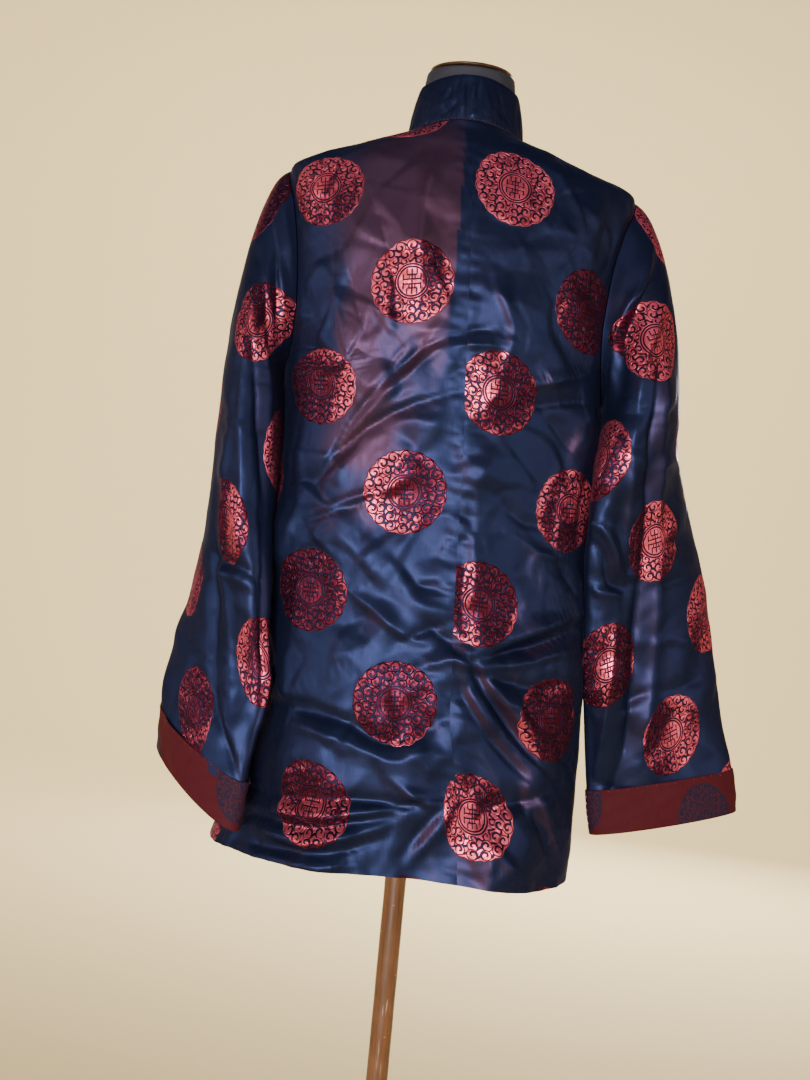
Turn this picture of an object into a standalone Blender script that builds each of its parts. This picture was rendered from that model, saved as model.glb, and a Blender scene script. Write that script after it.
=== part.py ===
"""A hip-length stand-collar jacket of brocade on a limbless dress form with a round wooden pole.

Metres, +Z up, with the floor at Z = 0 and the pole on the Z axis. The wearer faces -Y and the wearer's
left is +X. Every drop is a distance below the nape, and every turn is an angle in degrees from the
middle of the back, positive towards the wearer's left.
"""
import math

import bmesh
import bpy
import numpy as np
from mathutils import Vector

# ---------------------------------------------------------------- driving dimensions, in metres
NAPE_HEIGHT = 1.42          # nape of the neck above the floor
WALL = 0.0012               # thickness of a cloth wall
SEAM_HALF_GAP = 0.0003      # each panel stands this far back from its seam
TIP_DROP = 0.059            # shoulder tip below the nape
UNDERARM_DROP = 0.285
HEM_DROP = 0.800
HEM_DIP = {"depth": 0.010, "turn": -58.0, "reach": 38.0}     # where the hem hangs lower
NECK_HALF_WIDTH = 0.064
NECK_SIDE_DROP = 0.009
NECK_FRONT_DROP = 0.075
SQUARENESS = 2.3            # exponent of the body's rounded sections
VENT_DROP = 0.655           # top of the side slits
VENT_HALF_TURN = 2.2        # half of a slit's width at the hem, in degrees

POLE_RADIUS = 0.012
BASE_RADIUS = 0.185
BASE_EDGE_HEIGHT = 0.016
BASE_BOSS_HEIGHT = 0.060
SOCKET_RADIUS = 0.026
TORSO_END_DROP = 0.675
CLEARANCE = 0.0005          # between stacked pieces of the stand

NECK_COLUMNS = 6            # a panel's columns below the neckline
NECK_CROWDING = 1.5         # how much closer they come towards the shoulder
SHOULDER_COLUMNS = 7        # and below the shoulder
LOWER_ROWS = 12             # a panel's rows below the underarm
SLEEVE_COLUMNS = 20         # and the armhole has half as many rows on each panel
CAP_RINGS = 6
LOWER_RINGS = 13
ARC_SAMPLES = 60            # points at which a section's length is summed
EDGE_SAMPLES = 40
NORMAL_STEP = 1.5           # degrees either side of a point between which its direction is measured

# ---------------------------------------------------------------- tables
# The jacket's body: half width, depth behind and before the axis, sideways shift, and how far the
# centre seams and the side seams are turned round the body by the hang of the cloth.
BODY_COLUMNS = ("drop", "half_width", "back", "front", "shift", "back_turn", "front_turn", "side_turn")
BODY = (
    (0.000, 0.0413, 0.0580, 0.0200, 0.000, 0.0, 0.0, 0.0),
    (0.009, 0.0640, 0.0615, 0.0250, 0.000, 0.0, 0.0, 0.0),
    (0.030, 0.1210, 0.0770, 0.0400, 0.000, -0.6, 0.0, 0.0),
    (0.059, 0.1905, 0.0930, 0.0570, -0.002, -1.3, 0.0, 0.0),
    (0.075, 0.1925, 0.0995, 0.0680, -0.002, -1.5, 0.0, 0.0),
    (0.100, 0.1890, 0.1070, 0.0830, -0.001, -2.0, 0.0, 0.0),
    (0.150, 0.1830, 0.1150, 0.1080, 0.000, -3.1, -0.5, 0.0),
    (0.200, 0.1780, 0.1175, 0.1250, 0.000, -3.9, -1.0, 0.0),
    (0.285, 0.1730, 0.1160, 0.1350, -0.001, -5.0, -2.0, 0.0),
    (0.350, 0.1715, 0.1130, 0.1320, -0.003, -5.7, -2.5, -1.0),
    (0.450, 0.1745, 0.1100, 0.1260, -0.0035, -6.5, -3.0, -3.0),
    (0.550, 0.1745, 0.1130, 0.1280, -0.0072, -6.6, -4.0, -5.0),
    (0.630, 0.1760, 0.1200, 0.1340, -0.010, -7.0, -5.0, -7.0),
    (0.720, 0.1880, 0.1290, 0.1430, 0.001, -14.5, -8.0, -10.0),
    (0.815, 0.2000, 0.1370, 0.1510, 0.014, -19.5, -11.0, -13.0),
)

# Where the armhole's edge lies on the body, behind and before the shoulder.
ARMHOLE_COLUMNS = ("drop", "back_edge", "front_edge")
ARMHOLE = (
    (0.059, 90.0, 90.0),
    (0.065, 83.0, 78.0),
    (0.075, 77.5, 70.0),
    (0.100, 71.0, 63.5),
    (0.150, 66.7, 62.5),
    (0.200, 66.9, 67.0),
    (0.240, 70.8, 72.5),
    (0.270, 79.5, 81.0),
    (0.285, 90.0, 90.0),
)

# The largest folds of the body, as soft swellings (+) and hollows (-) of the wall.
FOLD_COLUMNS = ("drop", "turn", "depth", "reach_drop", "reach_turn")
BODY_FOLDS = (
    (0.750, 58.0, -0.0230, 0.075, 24.0),    # pressed in by the sleeve
    (0.800, 18.0, 0.0060, 0.090, 12.0),
    (0.800, -8.0, -0.0070, 0.100, 10.0),
    (0.800, -34.0, 0.0060, 0.110, 11.0),
    (0.800, -60.0, -0.0060, 0.090, 11.0),
    (0.545, -16.0, 0.0050, 0.050, 9.0),     # the knot of folds at the waist
    (0.600, -26.0, -0.0050, 0.060, 9.0),
    (0.690, 40.0, 0.0060, 0.020, 25.0),
    (0.800, 112.0, 0.0080, 0.120, 14.0),
    (0.800, 140.0, -0.0070, 0.120, 12.0),
    (0.800, -112.0, 0.0080, 0.110, 13.0),
    (0.800, -142.0, -0.0070, 0.120, 12.0),
)

# Each sleeve below its head: centre, half length and half thickness of the flattened tube, the way its
# broad side faces (90 = fore and aft, 0 = across) and how much its outer edge is lifted.
SLEEVE_TABLE_COLUMNS = ("drop", "out", "back", "long", "thick", "facing", "lift")
SLEEVE_LEFT = (
    (0.300, 0.2080, 0.000, 0.0800, 0.0335, 90.0, 0.0),
    (0.375, 0.2066, 0.010, 0.0770, 0.0364, 84.0, 2.0),
    (0.440, 0.2083, 0.017, 0.0760, 0.0343, 78.0, 4.0),
    (0.500, 0.2106, 0.022, 0.0750, 0.0305, 65.0, 7.0),
    (0.555, 0.2117, 0.024, 0.0740, 0.0270, 54.0, 11.0),
    (0.605, 0.2120, 0.033, 0.0735, 0.0245, 41.0, 15.0),
    (0.655, 0.2193, 0.042, 0.0730, 0.0225, 42.0, 20.0),
    (0.695, 0.2215, 0.048, 0.0710, 0.0210, 42.5, 25.0),
    (0.738, 0.2225, 0.052, 0.0690, 0.0205, 45.0, 27.0),
)
SLEEVE_RIGHT = (
    (0.300, 0.2212, 0.003, 0.0780, 0.0423, 86.0, 0.0),
    (0.375, 0.2275, 0.013, 0.0780, 0.0372, 55.0, 2.0),
    (0.480, 0.2440, 0.009, 0.0802, 0.0320, 32.0, 5.0),
    (0.575, 0.2590, 0.002, 0.0805, 0.0280, 22.0, 8.0),
    (0.640, 0.2712, -0.004, 0.0787, 0.0250, 14.0, 11.0),
    (0.700, 0.2830, -0.008, 0.0800, 0.0220, 8.0, 13.0),
    (0.740, 0.2905, -0.010, 0.0805, 0.0220, 8.0, 13.0),
)
SLEEVE_FOLD_COLUMNS = ("drop", "round", "depth", "reach_drop", "reach_round")
LEFT_FOLDS = (
    (0.470, 60.0, -0.0060, 0.060, 24.0),
    (0.560, 120.0, 0.0040, 0.050, 24.0),
    (0.450, 250.0, -0.0050, 0.060, 24.0),
)
RIGHT_FOLDS = (
    (0.430, 95.0, -0.0070, 0.090, 16.0),
    (0.560, 70.0, -0.0060, 0.120, 14.0),
    (0.500, 280.0, -0.0060, 0.100, 20.0),
)
# How the sleeve head leaves the armhole and meets the arm: handle lengths at the top and underarm.
HEAD = {
    "left": {"top_start": 0.030, "top_end": 0.110, "under_start": 0.006, "under_end": 0.006},
    "right": {"top_start": 0.034, "top_end": 0.105, "under_start": 0.006, "under_end": 0.006},
}
# The direction in which the head leaves the armhole under the arm, and how it changes towards the top.
HEAD_WAY = {"out": 0.80, "out_more": 0.13, "fore_and_aft": 0.35, "up": -0.60, "up_more": 0.23}
HEAD_GAP = 0.0011           # from the armhole's edge to the sleeve's
HEAD_FULLNESS = 0.010       # longer handles half-way down the armhole
HEAD_LEAN = 0.04            # how far the top's lower handle leans to the body
CUFF = {"height": 0.047, "stand_off": 0.0026, "flare": 0.0022, "rings": 3, "below": 0.0012}

# The stand collar, from the nape (0) to the centre front (1): how much narrower its top edge is than the
# neckline, and its rise.
COLLAR_COLUMNS = ("along", "narrowing", "rise")
COLLAR = (
    (0.00, 0.800, 0.038),
    (0.25, 0.805, 0.041),
    (0.42, 0.830, 0.047),
    (0.55, 0.900, 0.047),
    (0.80, 0.930, 0.042),
    (1.00, 0.930, 0.040),
)
COLLAR_SET_BACK = 0.35      # of a column, from the centre front to the collar's ends
COLLAR_SEAM = 0.0006
COLLAR_BOW = 0.02           # how far the collar's middle stands out

# The dress form, inside the jacket: its shoulders and trunk, and the neck that stands in them.
TORSO_COLUMNS = ("drop", "half_width", "back", "front")
TRUNK = (
    (0.0000, 0.0240, 0.0450, 0.0060),
    (0.0090, 0.0470, 0.0510, 0.0120),
    (0.0300, 0.0980, 0.0650, 0.0260),
    (0.0590, 0.1700, 0.0830, 0.0450),
    (0.0750, 0.1760, 0.0920, 0.0580),
    (0.1000, 0.1760, 0.1010, 0.0760),
    (0.1500, 0.1700, 0.1090, 0.1010),
    (0.2200, 0.1620, 0.1110, 0.1200),
    (0.3000, 0.1500, 0.1040, 0.1240),
    (0.3900, 0.1340, 0.0880, 0.1030),
    (0.4700, 0.1400, 0.0930, 0.1030),
    (0.5500, 0.1500, 0.1010, 0.1120),
    (0.6200, 0.1520, 0.1030, 0.1140),
    (0.6600, 0.1460, 0.0980, 0.1080),
    (0.6750, 0.1300, 0.0860, 0.0950),
)
NECK = (
    (-0.0620, 0.0400, 0.0365, 0.0415),
    (-0.0560, 0.0465, 0.0400, 0.0465),
    (-0.0460, 0.0490, 0.0400, 0.0495),
    (-0.0390, 0.0462, 0.0385, 0.0498),
    (-0.0250, 0.0456, 0.0385, 0.0500),
    (-0.0100, 0.0465, 0.0430, 0.0495),
    (0.0100, 0.0475, 0.0465, 0.0500),
    (0.0400, 0.0480, 0.0500, 0.0520),
    (0.0800, 0.0500, 0.0500, 0.0570),
)
NECK_ROUNDNESS = 2.0
JOIN_SHARPNESS = 20.0       # how sharply the neck runs into the shoulders
TORSO_STATIONS = 32
TORSO_LEVELS = 27
TORSO_END_ROUND = 0.006     # height of the rounding at the trunk's lower end

# The turned pieces of the stand: radius and height down the outer side. The cap's heights count from the
# top of the neck, the socket's from the trunk's underside and the base's from the floor.
CAP_PROFILE = ((0.0, 0.0118), (0.0140, 0.0112), (0.0280, 0.0088), (0.0385, 0.0052), (0.0400, 0.0030),
               (0.0388, 0.0), (0.0, 0.0))
SOCKET_PROFILE = ((0.0, 0.0), (0.0494, 0.0), (0.0494, -0.008), (SOCKET_RADIUS, -0.014),
                  (SOCKET_RADIUS, -0.078), (0.0213, -0.084), (0.0, -0.084))
BASE_PROFILE = ((0.0, BASE_BOSS_HEIGHT), (0.020, BASE_BOSS_HEIGHT), (0.024, 0.054), (0.026, 0.036),
                (0.040, 0.027), (0.090, 0.022), (BASE_RADIUS - 0.012, BASE_EDGE_HEIGHT),
                (BASE_RADIUS - 0.003, 0.012), (BASE_RADIUS, 0.008), (BASE_RADIUS - 0.002, 0.0), (0.0, 0.0))

# The front's cord fastenings.
FROG_DROPS = (0.090, 0.199, 0.308, 0.417, 0.526, 0.635)
FROG = {"reach": 0.052, "cord": 0.0019, "strand_gap": 0.0044, "ball": 0.0058, "lift": 0.0034, "stations": 7,
        "knot_start": 0.0125, "loop_start": 0.0105}


# ---------------------------------------------------------------- reading the tables
def column(table, names, name, where):
    """Read one column of a table at a place given in its first column, smoothly."""
    xs = np.array([row[0] for row in table])
    ys = np.array([row[names.index(name)] for row in table])
    steps = np.diff(ys) / np.diff(xs)
    slopes = np.zeros(len(xs))
    slopes[0], slopes[-1] = steps[0], steps[-1]
    for i in range(1, len(xs) - 1):
        if steps[i - 1] * steps[i] > 0:
            slopes[i] = 2 * steps[i - 1] * steps[i] / (steps[i - 1] + steps[i])
    where = min(max(where, xs[0]), xs[-1])
    i = min(int(np.searchsorted(xs, where, side="right")) - 1, len(xs) - 2)
    width = xs[i + 1] - xs[i]
    t = (where - xs[i]) / width
    return float(
        ys[i] * (1 + 2 * t) * (1 - t) ** 2 + slopes[i] * width * t * (1 - t) ** 2
        + ys[i + 1] * t * t * (3 - 2 * t) + slopes[i + 1] * width * t * t * (t - 1)
    )


def body(name, drop):
    return column(BODY, BODY_COLUMNS, name, drop)


# ---------------------------------------------------------------- the jacket's body
def section_point(drop, turn):
    """A point of the body's smooth surface."""
    angle = math.radians(turn)
    sine, cosine = math.sin(angle), math.cos(angle)
    power = 2 / SQUARENESS
    depth = body("back", drop) if cosine >= 0 else body("front", drop)
    x = body("shift", drop) + body("half_width", drop) * math.copysign(abs(sine) ** power, sine)
    y = depth * math.copysign(abs(cosine) ** power, cosine)
    return np.array((x, y, NAPE_HEIGHT - drop))


def section_normal(drop, turn):
    """The level direction straight out of the body's surface."""
    before, after = section_point(drop, turn - NORMAL_STEP), section_point(drop, turn + NORMAL_STEP)
    along = after - before
    out = np.array((-along[1], along[0], 0.0))
    out = -out if out @ np.array((math.sin(math.radians(turn)), math.cos(math.radians(turn)), 0)) < 0 else out
    return out / np.linalg.norm(out)


def folds_total(folds, drop, turn):
    """How far a table of folds moves the wall out at a point."""
    total = 0.0
    for fold_drop, fold_turn, depth, reach_drop, reach_turn in folds:
        away = (turn - fold_turn + 180) % 360 - 180
        total += depth * math.exp(-((drop - fold_drop) / reach_drop) ** 2 - (away / reach_turn) ** 2)
    return total


def side_edges(drop, front):
    """The turns of a left panel's centre edge and outer edge at a drop."""
    centre, side = body("front_turn" if front else "back_turn", drop), body("side_turn", drop)
    if drop < TIP_DROP:
        edge = 90.0
    elif drop < UNDERARM_DROP:
        edge = column(ARMHOLE, ARMHOLE_COLUMNS, "front_edge" if front else "back_edge", drop)
        edge = 180 - edge if front else edge
    else:
        edge = 90.0
    return (180.0 + centre if front else centre), edge, side


def panel_edges(drop, sign, front):
    """The turns between which one panel lies at a drop; sign is +1 on the wearer's left."""
    centre, edge, side = side_edges(drop, front)
    outer = sign * edge + side
    if drop > VENT_DROP:
        slit = VENT_HALF_TURN * (drop - VENT_DROP) / (HEM_DROP - VENT_DROP)
        outer += sign * slit if front else -sign * slit
    if front and sign < 0:
        centre -= 360.0
    return centre, outer


def arc_table(drop, start, end):
    """Turns along a section with the distance travelled from its start."""
    turns = np.linspace(start, end, ARC_SAMPLES)
    points = np.array([section_point(drop, turn) for turn in turns])
    lengths = np.concatenate(([0.0], np.cumsum(np.linalg.norm(np.diff(points, axis=0), axis=1))))
    return turns, lengths


def neck_half_width(drop, front):
    """How far from the centre the neckline lies at a drop."""
    if front:
        fall = (drop - NECK_SIDE_DROP) / (NECK_FRONT_DROP - NECK_SIDE_DROP)
        return NECK_HALF_WIDTH * math.sqrt(max(0.0, 1 - fall * fall))
    return NECK_HALF_WIDTH * math.sqrt(max(0.0, drop / NECK_SIDE_DROP))


def top_edge(sign, front):
    """Along the neckline and then the shoulder: distance across the panel against drop."""
    across, drops = [], []
    neck_start = NECK_FRONT_DROP if front else 0.0
    for drop in np.linspace(neck_start, NECK_SIDE_DROP, EDGE_SAMPLES):
        centre, _ = panel_edges(drop, sign, front)
        turns, lengths = arc_table(drop, centre, sign * 90.0)
        xs = np.array([abs(section_point(drop, turn)[0]) for turn in turns])
        across.append(float(np.interp(neck_half_width(drop, front), xs, lengths)))
        drops.append(drop)
    for drop in np.linspace(NECK_SIDE_DROP, TIP_DROP, EDGE_SAMPLES)[1:]:
        centre, outer = panel_edges(drop, sign, front)
        across.append(arc_table(drop, centre, outer)[1][-1])
        drops.append(drop)
    return np.maximum.accumulate(np.array(across)), np.array(drops)


def panel_shares(sign, front):
    """Where a panel's columns lie across it, with one on the point where neck and shoulder meet."""
    across, drops = top_edge(sign, front)
    neck = float(across[np.argmin(np.abs(drops - NECK_SIDE_DROP))] / across[-1])
    below_neck = [neck * (1 - (1 - k / NECK_COLUMNS) ** NECK_CROWDING) for k in range(NECK_COLUMNS)]
    return below_neck + [neck + (1 - neck) * k / SHOULDER_COLUMNS for k in range(SHOULDER_COLUMNS + 1)]


def armhole_fall(around):
    """How far down the armhole a station lies, as a share."""
    return (1 - math.cos(math.radians(around))) / 2


def hem_drop(turn):
    """How far down the hem lies."""
    away = (turn - HEM_DIP["turn"] + 180) % 360 - 180
    return HEM_DROP + HEM_DIP["depth"] * math.exp(-(away / HEM_DIP["reach"]) ** 2)


def row_drops(start, hem):
    """The drops of one column's points, so that its armhole rows meet the sleeve's stations."""
    falls = [armhole_fall(360.0 * k / SLEEVE_COLUMNS) for k in range(SLEEVE_COLUMNS // 2 + 1)]
    upper = [start + (UNDERARM_DROP - start) * fall for fall in falls]
    lower = [UNDERARM_DROP + (hem - UNDERARM_DROP) * k / LOWER_ROWS for k in range(1, LOWER_ROWS + 1)]
    return upper + lower


def panel_points(sign, front):
    """The grid of a panel: rows run down it and columns across it from the centre seam."""
    across, drops = top_edge(sign, front)
    full = across[-1]
    shift = np.array((sign * SEAM_HALF_GAP, -SEAM_HALF_GAP if front else SEAM_HALF_GAP, 0.0))
    grid = []
    for share in panel_shares(sign, front):
        start = float(np.interp(share * full, across, drops))
        centre, outer = panel_edges(HEM_DROP, sign, front)
        line = []
        for drop in row_drops(start, hem_drop(centre + share * (outer - centre))):
            centre, outer = panel_edges(drop, sign, front)
            turns, lengths = arc_table(drop, centre, outer)
            reach = min(share * full, lengths[-1]) if drop < TIP_DROP else share * lengths[-1]
            turn = float(np.interp(reach, lengths, turns))
            fold = folds_total(BODY_FOLDS, drop, turn)
            line.append(section_point(drop, turn) + fold * section_normal(drop, turn) + shift)
        grid.append(line)
    return grid


# ---------------------------------------------------------------- the sleeves
def armhole_point(sign, around):
    """A point of the armhole's edge; around runs 0 at the tip, 90 behind, 180 under the arm."""
    drop = TIP_DROP + (UNDERARM_DROP - TIP_DROP) * armhole_fall(around)
    _, turn = panel_edges(drop, sign, around > 180)
    return section_point(drop, turn)


def sleeve_ring_point(table, sign, drop, around):
    """A point of the sleeve's flattened tube below its head."""
    read = {name: column(table, SLEEVE_TABLE_COLUMNS, name, drop) for name in SLEEVE_TABLE_COLUMNS[1:]}
    facing = math.radians(read["facing"])
    broad = np.array((math.cos(facing), -math.sin(facing)))
    thin = np.array((math.sin(facing), math.cos(facing)))
    angle = math.radians(around) + facing - math.pi / 2
    along = -read["long"] * math.sin(angle)
    flat = np.array((read["out"], read["back"])) + read["thick"] * math.cos(angle) * thin + along * broad
    rise = along * math.tan(math.radians(read["lift"]))
    return np.array((sign * flat[0], flat[1], NAPE_HEIGHT - drop + rise))


def sleeve_head_point(table, head, sign, share, around):
    """A point of the sleeve's head, between the armhole and the first full ring."""
    angle = math.radians(around)
    top = (1 + math.cos(angle)) / 2
    start = armhole_point(sign, around)
    end = sleeve_ring_point(table, sign, table[0][0], around)
    way = np.array((sign * (HEAD_WAY["out"] + HEAD_WAY["out_more"] * top),
                    HEAD_WAY["fore_and_aft"] * math.sin(angle), HEAD_WAY["up"] + HEAD_WAY["up_more"] * top))
    way = way / np.linalg.norm(way)
    start = start + HEAD_GAP * way
    leave = head["under_start"] + (head["top_start"] - head["under_start"]) * top
    leave += HEAD_FULLNESS * math.sin(angle) ** 2
    arrive = head["under_end"] + (head["top_end"] - head["under_end"]) * top
    first = start + leave * way
    second = end + np.array((-sign * HEAD_LEAN * top * arrive, 0.0, arrive))
    rest = 1 - share
    return rest ** 3 * start + 3 * rest * rest * share * first + 3 * rest * share * share * second + share ** 3 * end


def grow_ring(ring, amounts):
    """Move each point of a closed ring outwards in its level plane by its own amount."""
    count = len(ring)
    middle = sum(ring) / count
    grown = []
    for k, (point, amount) in enumerate(zip(ring, amounts)):
        along = ring[(k + 1) % count] - ring[k - 1]
        out = np.array((along[1], -along[0], 0.0))
        out = -out if out @ (point - middle) < 0 else out
        grown.append(point + amount * out / np.linalg.norm(out))
    return grown


def sleeve_points(side):
    """All rings of a sleeve, from the armhole to its end."""
    sign, table, folds = (1, SLEEVE_LEFT, LEFT_FOLDS) if side == "left" else (-1, SLEEVE_RIGHT, RIGHT_FOLDS)
    first, last = table[0][0], table[-1][0]
    arounds = [360.0 * k / SLEEVE_COLUMNS for k in range(SLEEVE_COLUMNS)]
    rings, drops = [], []
    for share in np.linspace(0, 1, CAP_RINGS + 1):
        rings.append([sleeve_head_point(table, HEAD[side], sign, share, a) for a in arounds])
        drops.append(TIP_DROP + (first - TIP_DROP) * share)
    for drop in np.linspace(first, last, LOWER_RINGS + 1)[1:]:
        rings.append([sleeve_ring_point(table, sign, drop, a) for a in arounds])
        drops.append(drop)
    return [grow_ring(ring, [folds_total(folds, drop, a) for a in arounds]) for ring, drop in zip(rings, drops)]


def cuff_points(side):
    """The turned-back band round the sleeve's end, bottom ring first."""
    sign, table = (1, SLEEVE_LEFT) if side == "left" else (-1, SLEEVE_RIGHT)
    end = table[-1][0]
    rings = []
    for level in range(CUFF["rings"] + 1):
        share = level / CUFF["rings"]
        drop = end + CUFF["below"] - share * (CUFF["height"] + CUFF["below"])
        ring = [sleeve_ring_point(table, sign, min(drop, end), 360.0 * k / SLEEVE_COLUMNS)
                - np.array((0, 0, max(0.0, drop - end))) for k in range(SLEEVE_COLUMNS)]
        rings.append(grow_ring(ring, [CUFF["stand_off"] + CUFF["flare"] * share] * SLEEVE_COLUMNS))
    return rings


# ---------------------------------------------------------------- the collar and the fastenings
def neckline(panels):
    """The panels' own neck points, from the right front's centre round the nape to the left front's."""
    tops = {name: [line[0] for line in grid[:NECK_COLUMNS + 1]] for name, grid in panels.items()}
    right = tops["front_right"][:-1] + [(tops["front_right"][-1] + tops["back_right"][-1]) / 2]
    right += tops["back_right"][-2:0:-1]
    nape = [(tops["back_right"][0] + tops["back_left"][0]) / 2]
    left = tops["back_left"][1:-1] + [(tops["front_left"][-1] + tops["back_left"][-1]) / 2]
    left += tops["front_left"][-2::-1]
    right[0] += COLLAR_SET_BACK * (right[1] - right[0])
    left[-1] += COLLAR_SET_BACK * (left[-2] - left[-1])
    return right + nape + left


def collar_points(panels):
    """The collar's stations round the neck, each a line from its base to its top edge."""
    path = np.array(neckline(panels))
    lengths = np.concatenate(([0.0], np.cumsum(np.linalg.norm(np.diff(path, axis=0), axis=1))))
    grid = []
    for point, length in zip(path, lengths):
        along = abs(2 * length / lengths[-1] - 1)
        base = point + np.array((0, 0, COLLAR_SEAM))
        narrowing = column(COLLAR, COLLAR_COLUMNS, "narrowing", along)
        rise = column(COLLAR, COLLAR_COLUMNS, "rise", along)
        top = np.array((base[0] * narrowing, base[1] * narrowing, base[2] + rise))
        bow = COLLAR_BOW * np.array((base[0], base[1], 0))
        grid.append([base, (base + top) / 2 + bow, top])
    return grid


def front_surface(drop, offset):
    """A point of the front, a distance from the centre edge along the section and moved out."""
    sign = 1 if offset > 0 else -1
    centre, outer = panel_edges(drop, sign, True)
    turns, lengths = arc_table(drop, centre, outer)
    turn = float(np.interp(abs(offset), lengths, turns))
    lift = FROG["lift"] + folds_total(BODY_FOLDS, drop, turn)
    return section_point(drop, turn) + lift * section_normal(drop, turn)


def frog_path(drop, sign, start):
    """One cord fastening's route from its start: out along the panel, round its end and back."""
    half = FROG["strand_gap"] / 2
    offsets = np.linspace(start, FROG["reach"], FROG["stations"])
    path = [front_surface(drop - half, sign * offset) for offset in offsets]
    path += [front_surface(drop, sign * (FROG["reach"] + half))]
    path += [front_surface(drop + half, sign * offset) for offset in offsets[::-1]]
    return path


# ---------------------------------------------------------------- making objects
def clear_scene():
    for obj in list(bpy.data.objects):
        bpy.data.objects.remove(obj, do_unlink=True)


def make_material(name, color, roughness, metallic=0.0):
    material = bpy.data.materials.new(name)
    material.use_nodes = True
    shader = material.node_tree.nodes["Principled BSDF"]
    shader.inputs["Base Color"].default_value = (*color, 1.0)
    shader.inputs["Roughness"].default_value = roughness
    shader.inputs["Metallic"].default_value = metallic
    return material


def add_mesh(name, bm, material, parts):
    mesh = bpy.data.meshes.new(name)
    bm.to_mesh(mesh)
    bm.free()
    mesh.shade_smooth()
    mesh.materials.append(material)
    obj = bpy.data.objects.new(name, mesh)
    parts.objects.link(obj)
    return obj


def add_cloth(name, grid, material, parts, closed=False, flip=False):
    """A grid of points as an open surface, given its wall by Solidify on the inner side."""
    bm = bmesh.new()
    verts = [[bm.verts.new(Vector(point)) for point in line] for line in grid]
    lines = len(verts)
    for i in range(lines if closed else lines - 1):
        for j in range(len(verts[0]) - 1):
            here, there = verts[i], verts[(i + 1) % lines]
            face = (here[j], here[j + 1], there[j + 1], there[j])
            bm.faces.new(face[::-1] if flip else face)
    obj = add_mesh(name, bm, material, parts)
    wall = obj.modifiers.new("wall", "SOLIDIFY")
    wall.thickness = WALL
    wall.offset = -1.0
    wall.use_rim = True
    return obj


def add_turned(name, profile, rise, material, parts, steps):
    """A solid turned about the pole's axis; the profile runs down its outer side from axis to axis."""
    mesh = bpy.data.meshes.new(name)
    mesh.from_pydata([(radius, 0.0, rise + height) for radius, height in profile],
                     [(k, k + 1) for k in range(len(profile) - 1)], [])
    obj = bpy.data.objects.new(name, mesh)
    parts.objects.link(obj)
    mesh.materials.append(material)
    turn = obj.modifiers.new("turn", "SCREW")
    turn.angle = math.tau
    turn.steps = steps
    turn.render_steps = steps
    turn.use_merge_vertices = True
    turn.merge_threshold = 0.00005
    turn.use_smooth_shade = True
    return obj


def form_radius(table, roundness, drop, angle):
    """How far from the axis one part of the form reaches at an angle from the back."""
    wide, back, front = (column(table, TORSO_COLUMNS, name, drop) for name in TORSO_COLUMNS[1:])
    depth = back if math.cos(angle) >= 0 else front
    across, along = abs(math.sin(angle)) / wide, abs(math.cos(angle)) / depth
    return (across ** roundness + along ** roundness) ** (-1 / roundness)


def torso_ring(drop):
    """One level section of the form."""
    ring = []
    for k in range(TORSO_STATIONS):
        angle = math.tau * k / TORSO_STATIONS
        reaches = []
        if drop <= NECK[-1][0]:
            reaches.append(form_radius(NECK, NECK_ROUNDNESS, drop, angle))
        if drop >= TRUNK[0][0]:
            reaches.append(form_radius(TRUNK, SQUARENESS, drop, angle))
        reach = sum(value ** JOIN_SHARPNESS for value in reaches) ** (1 / JOIN_SHARPNESS)
        ring.append((reach * math.sin(angle), reach * math.cos(angle), NAPE_HEIGHT - drop))
    return ring


def add_torso(parts, material):
    """The limbless form, lofted through its level sections and closed at both ends."""
    bm = bmesh.new()
    marked = sorted({row[0] for row in NECK + TRUNK if row[0] <= TIP_DROP} | {TORSO_END_DROP - TORSO_END_ROUND})
    count = TORSO_LEVELS - len(marked)
    spread = [TIP_DROP + (TORSO_END_DROP - TIP_DROP) * k / count for k in range(1, count + 1)]
    rings = [[bm.verts.new(point) for point in torso_ring(drop)] for drop in sorted(marked + spread)]
    for upper, lower in zip(rings, rings[1:]):
        for k in range(TORSO_STATIONS):
            after = (k + 1) % TORSO_STATIONS
            bm.faces.new((upper[k], upper[after], lower[after], lower[k]))
    bm.faces.new(rings[0])
    bm.faces.new(rings[-1][::-1])
    bmesh.ops.recalc_face_normals(bm, faces=bm.faces)
    return add_mesh("torso", bm, material, parts)


def add_cord(name, path, material, parts):
    """A fastening's cord as one tube."""
    curve = bpy.data.curves.new(name, "CURVE")
    curve.dimensions = "3D"
    curve.bevel_depth = FROG["cord"]
    curve.bevel_resolution = 1
    curve.use_fill_caps = True
    curve.resolution_u = 1
    spline = curve.splines.new("POLY")
    spline.points.add(len(path) - 1)
    for point, place in zip(spline.points, path):
        point.co = (*place, 1.0)
    curve.materials.append(material)
    obj = bpy.data.objects.new(name, curve)
    parts.objects.link(obj)
    return obj


def add_ball(name, place, material, parts):
    """The knotted ball that the loop goes round."""
    bm = bmesh.new()
    bmesh.ops.create_uvsphere(bm, u_segments=10, v_segments=6, radius=FROG["ball"])
    bmesh.ops.translate(bm, vec=Vector(place), verts=bm.verts)
    return add_mesh(name, bm, material, parts)


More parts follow.
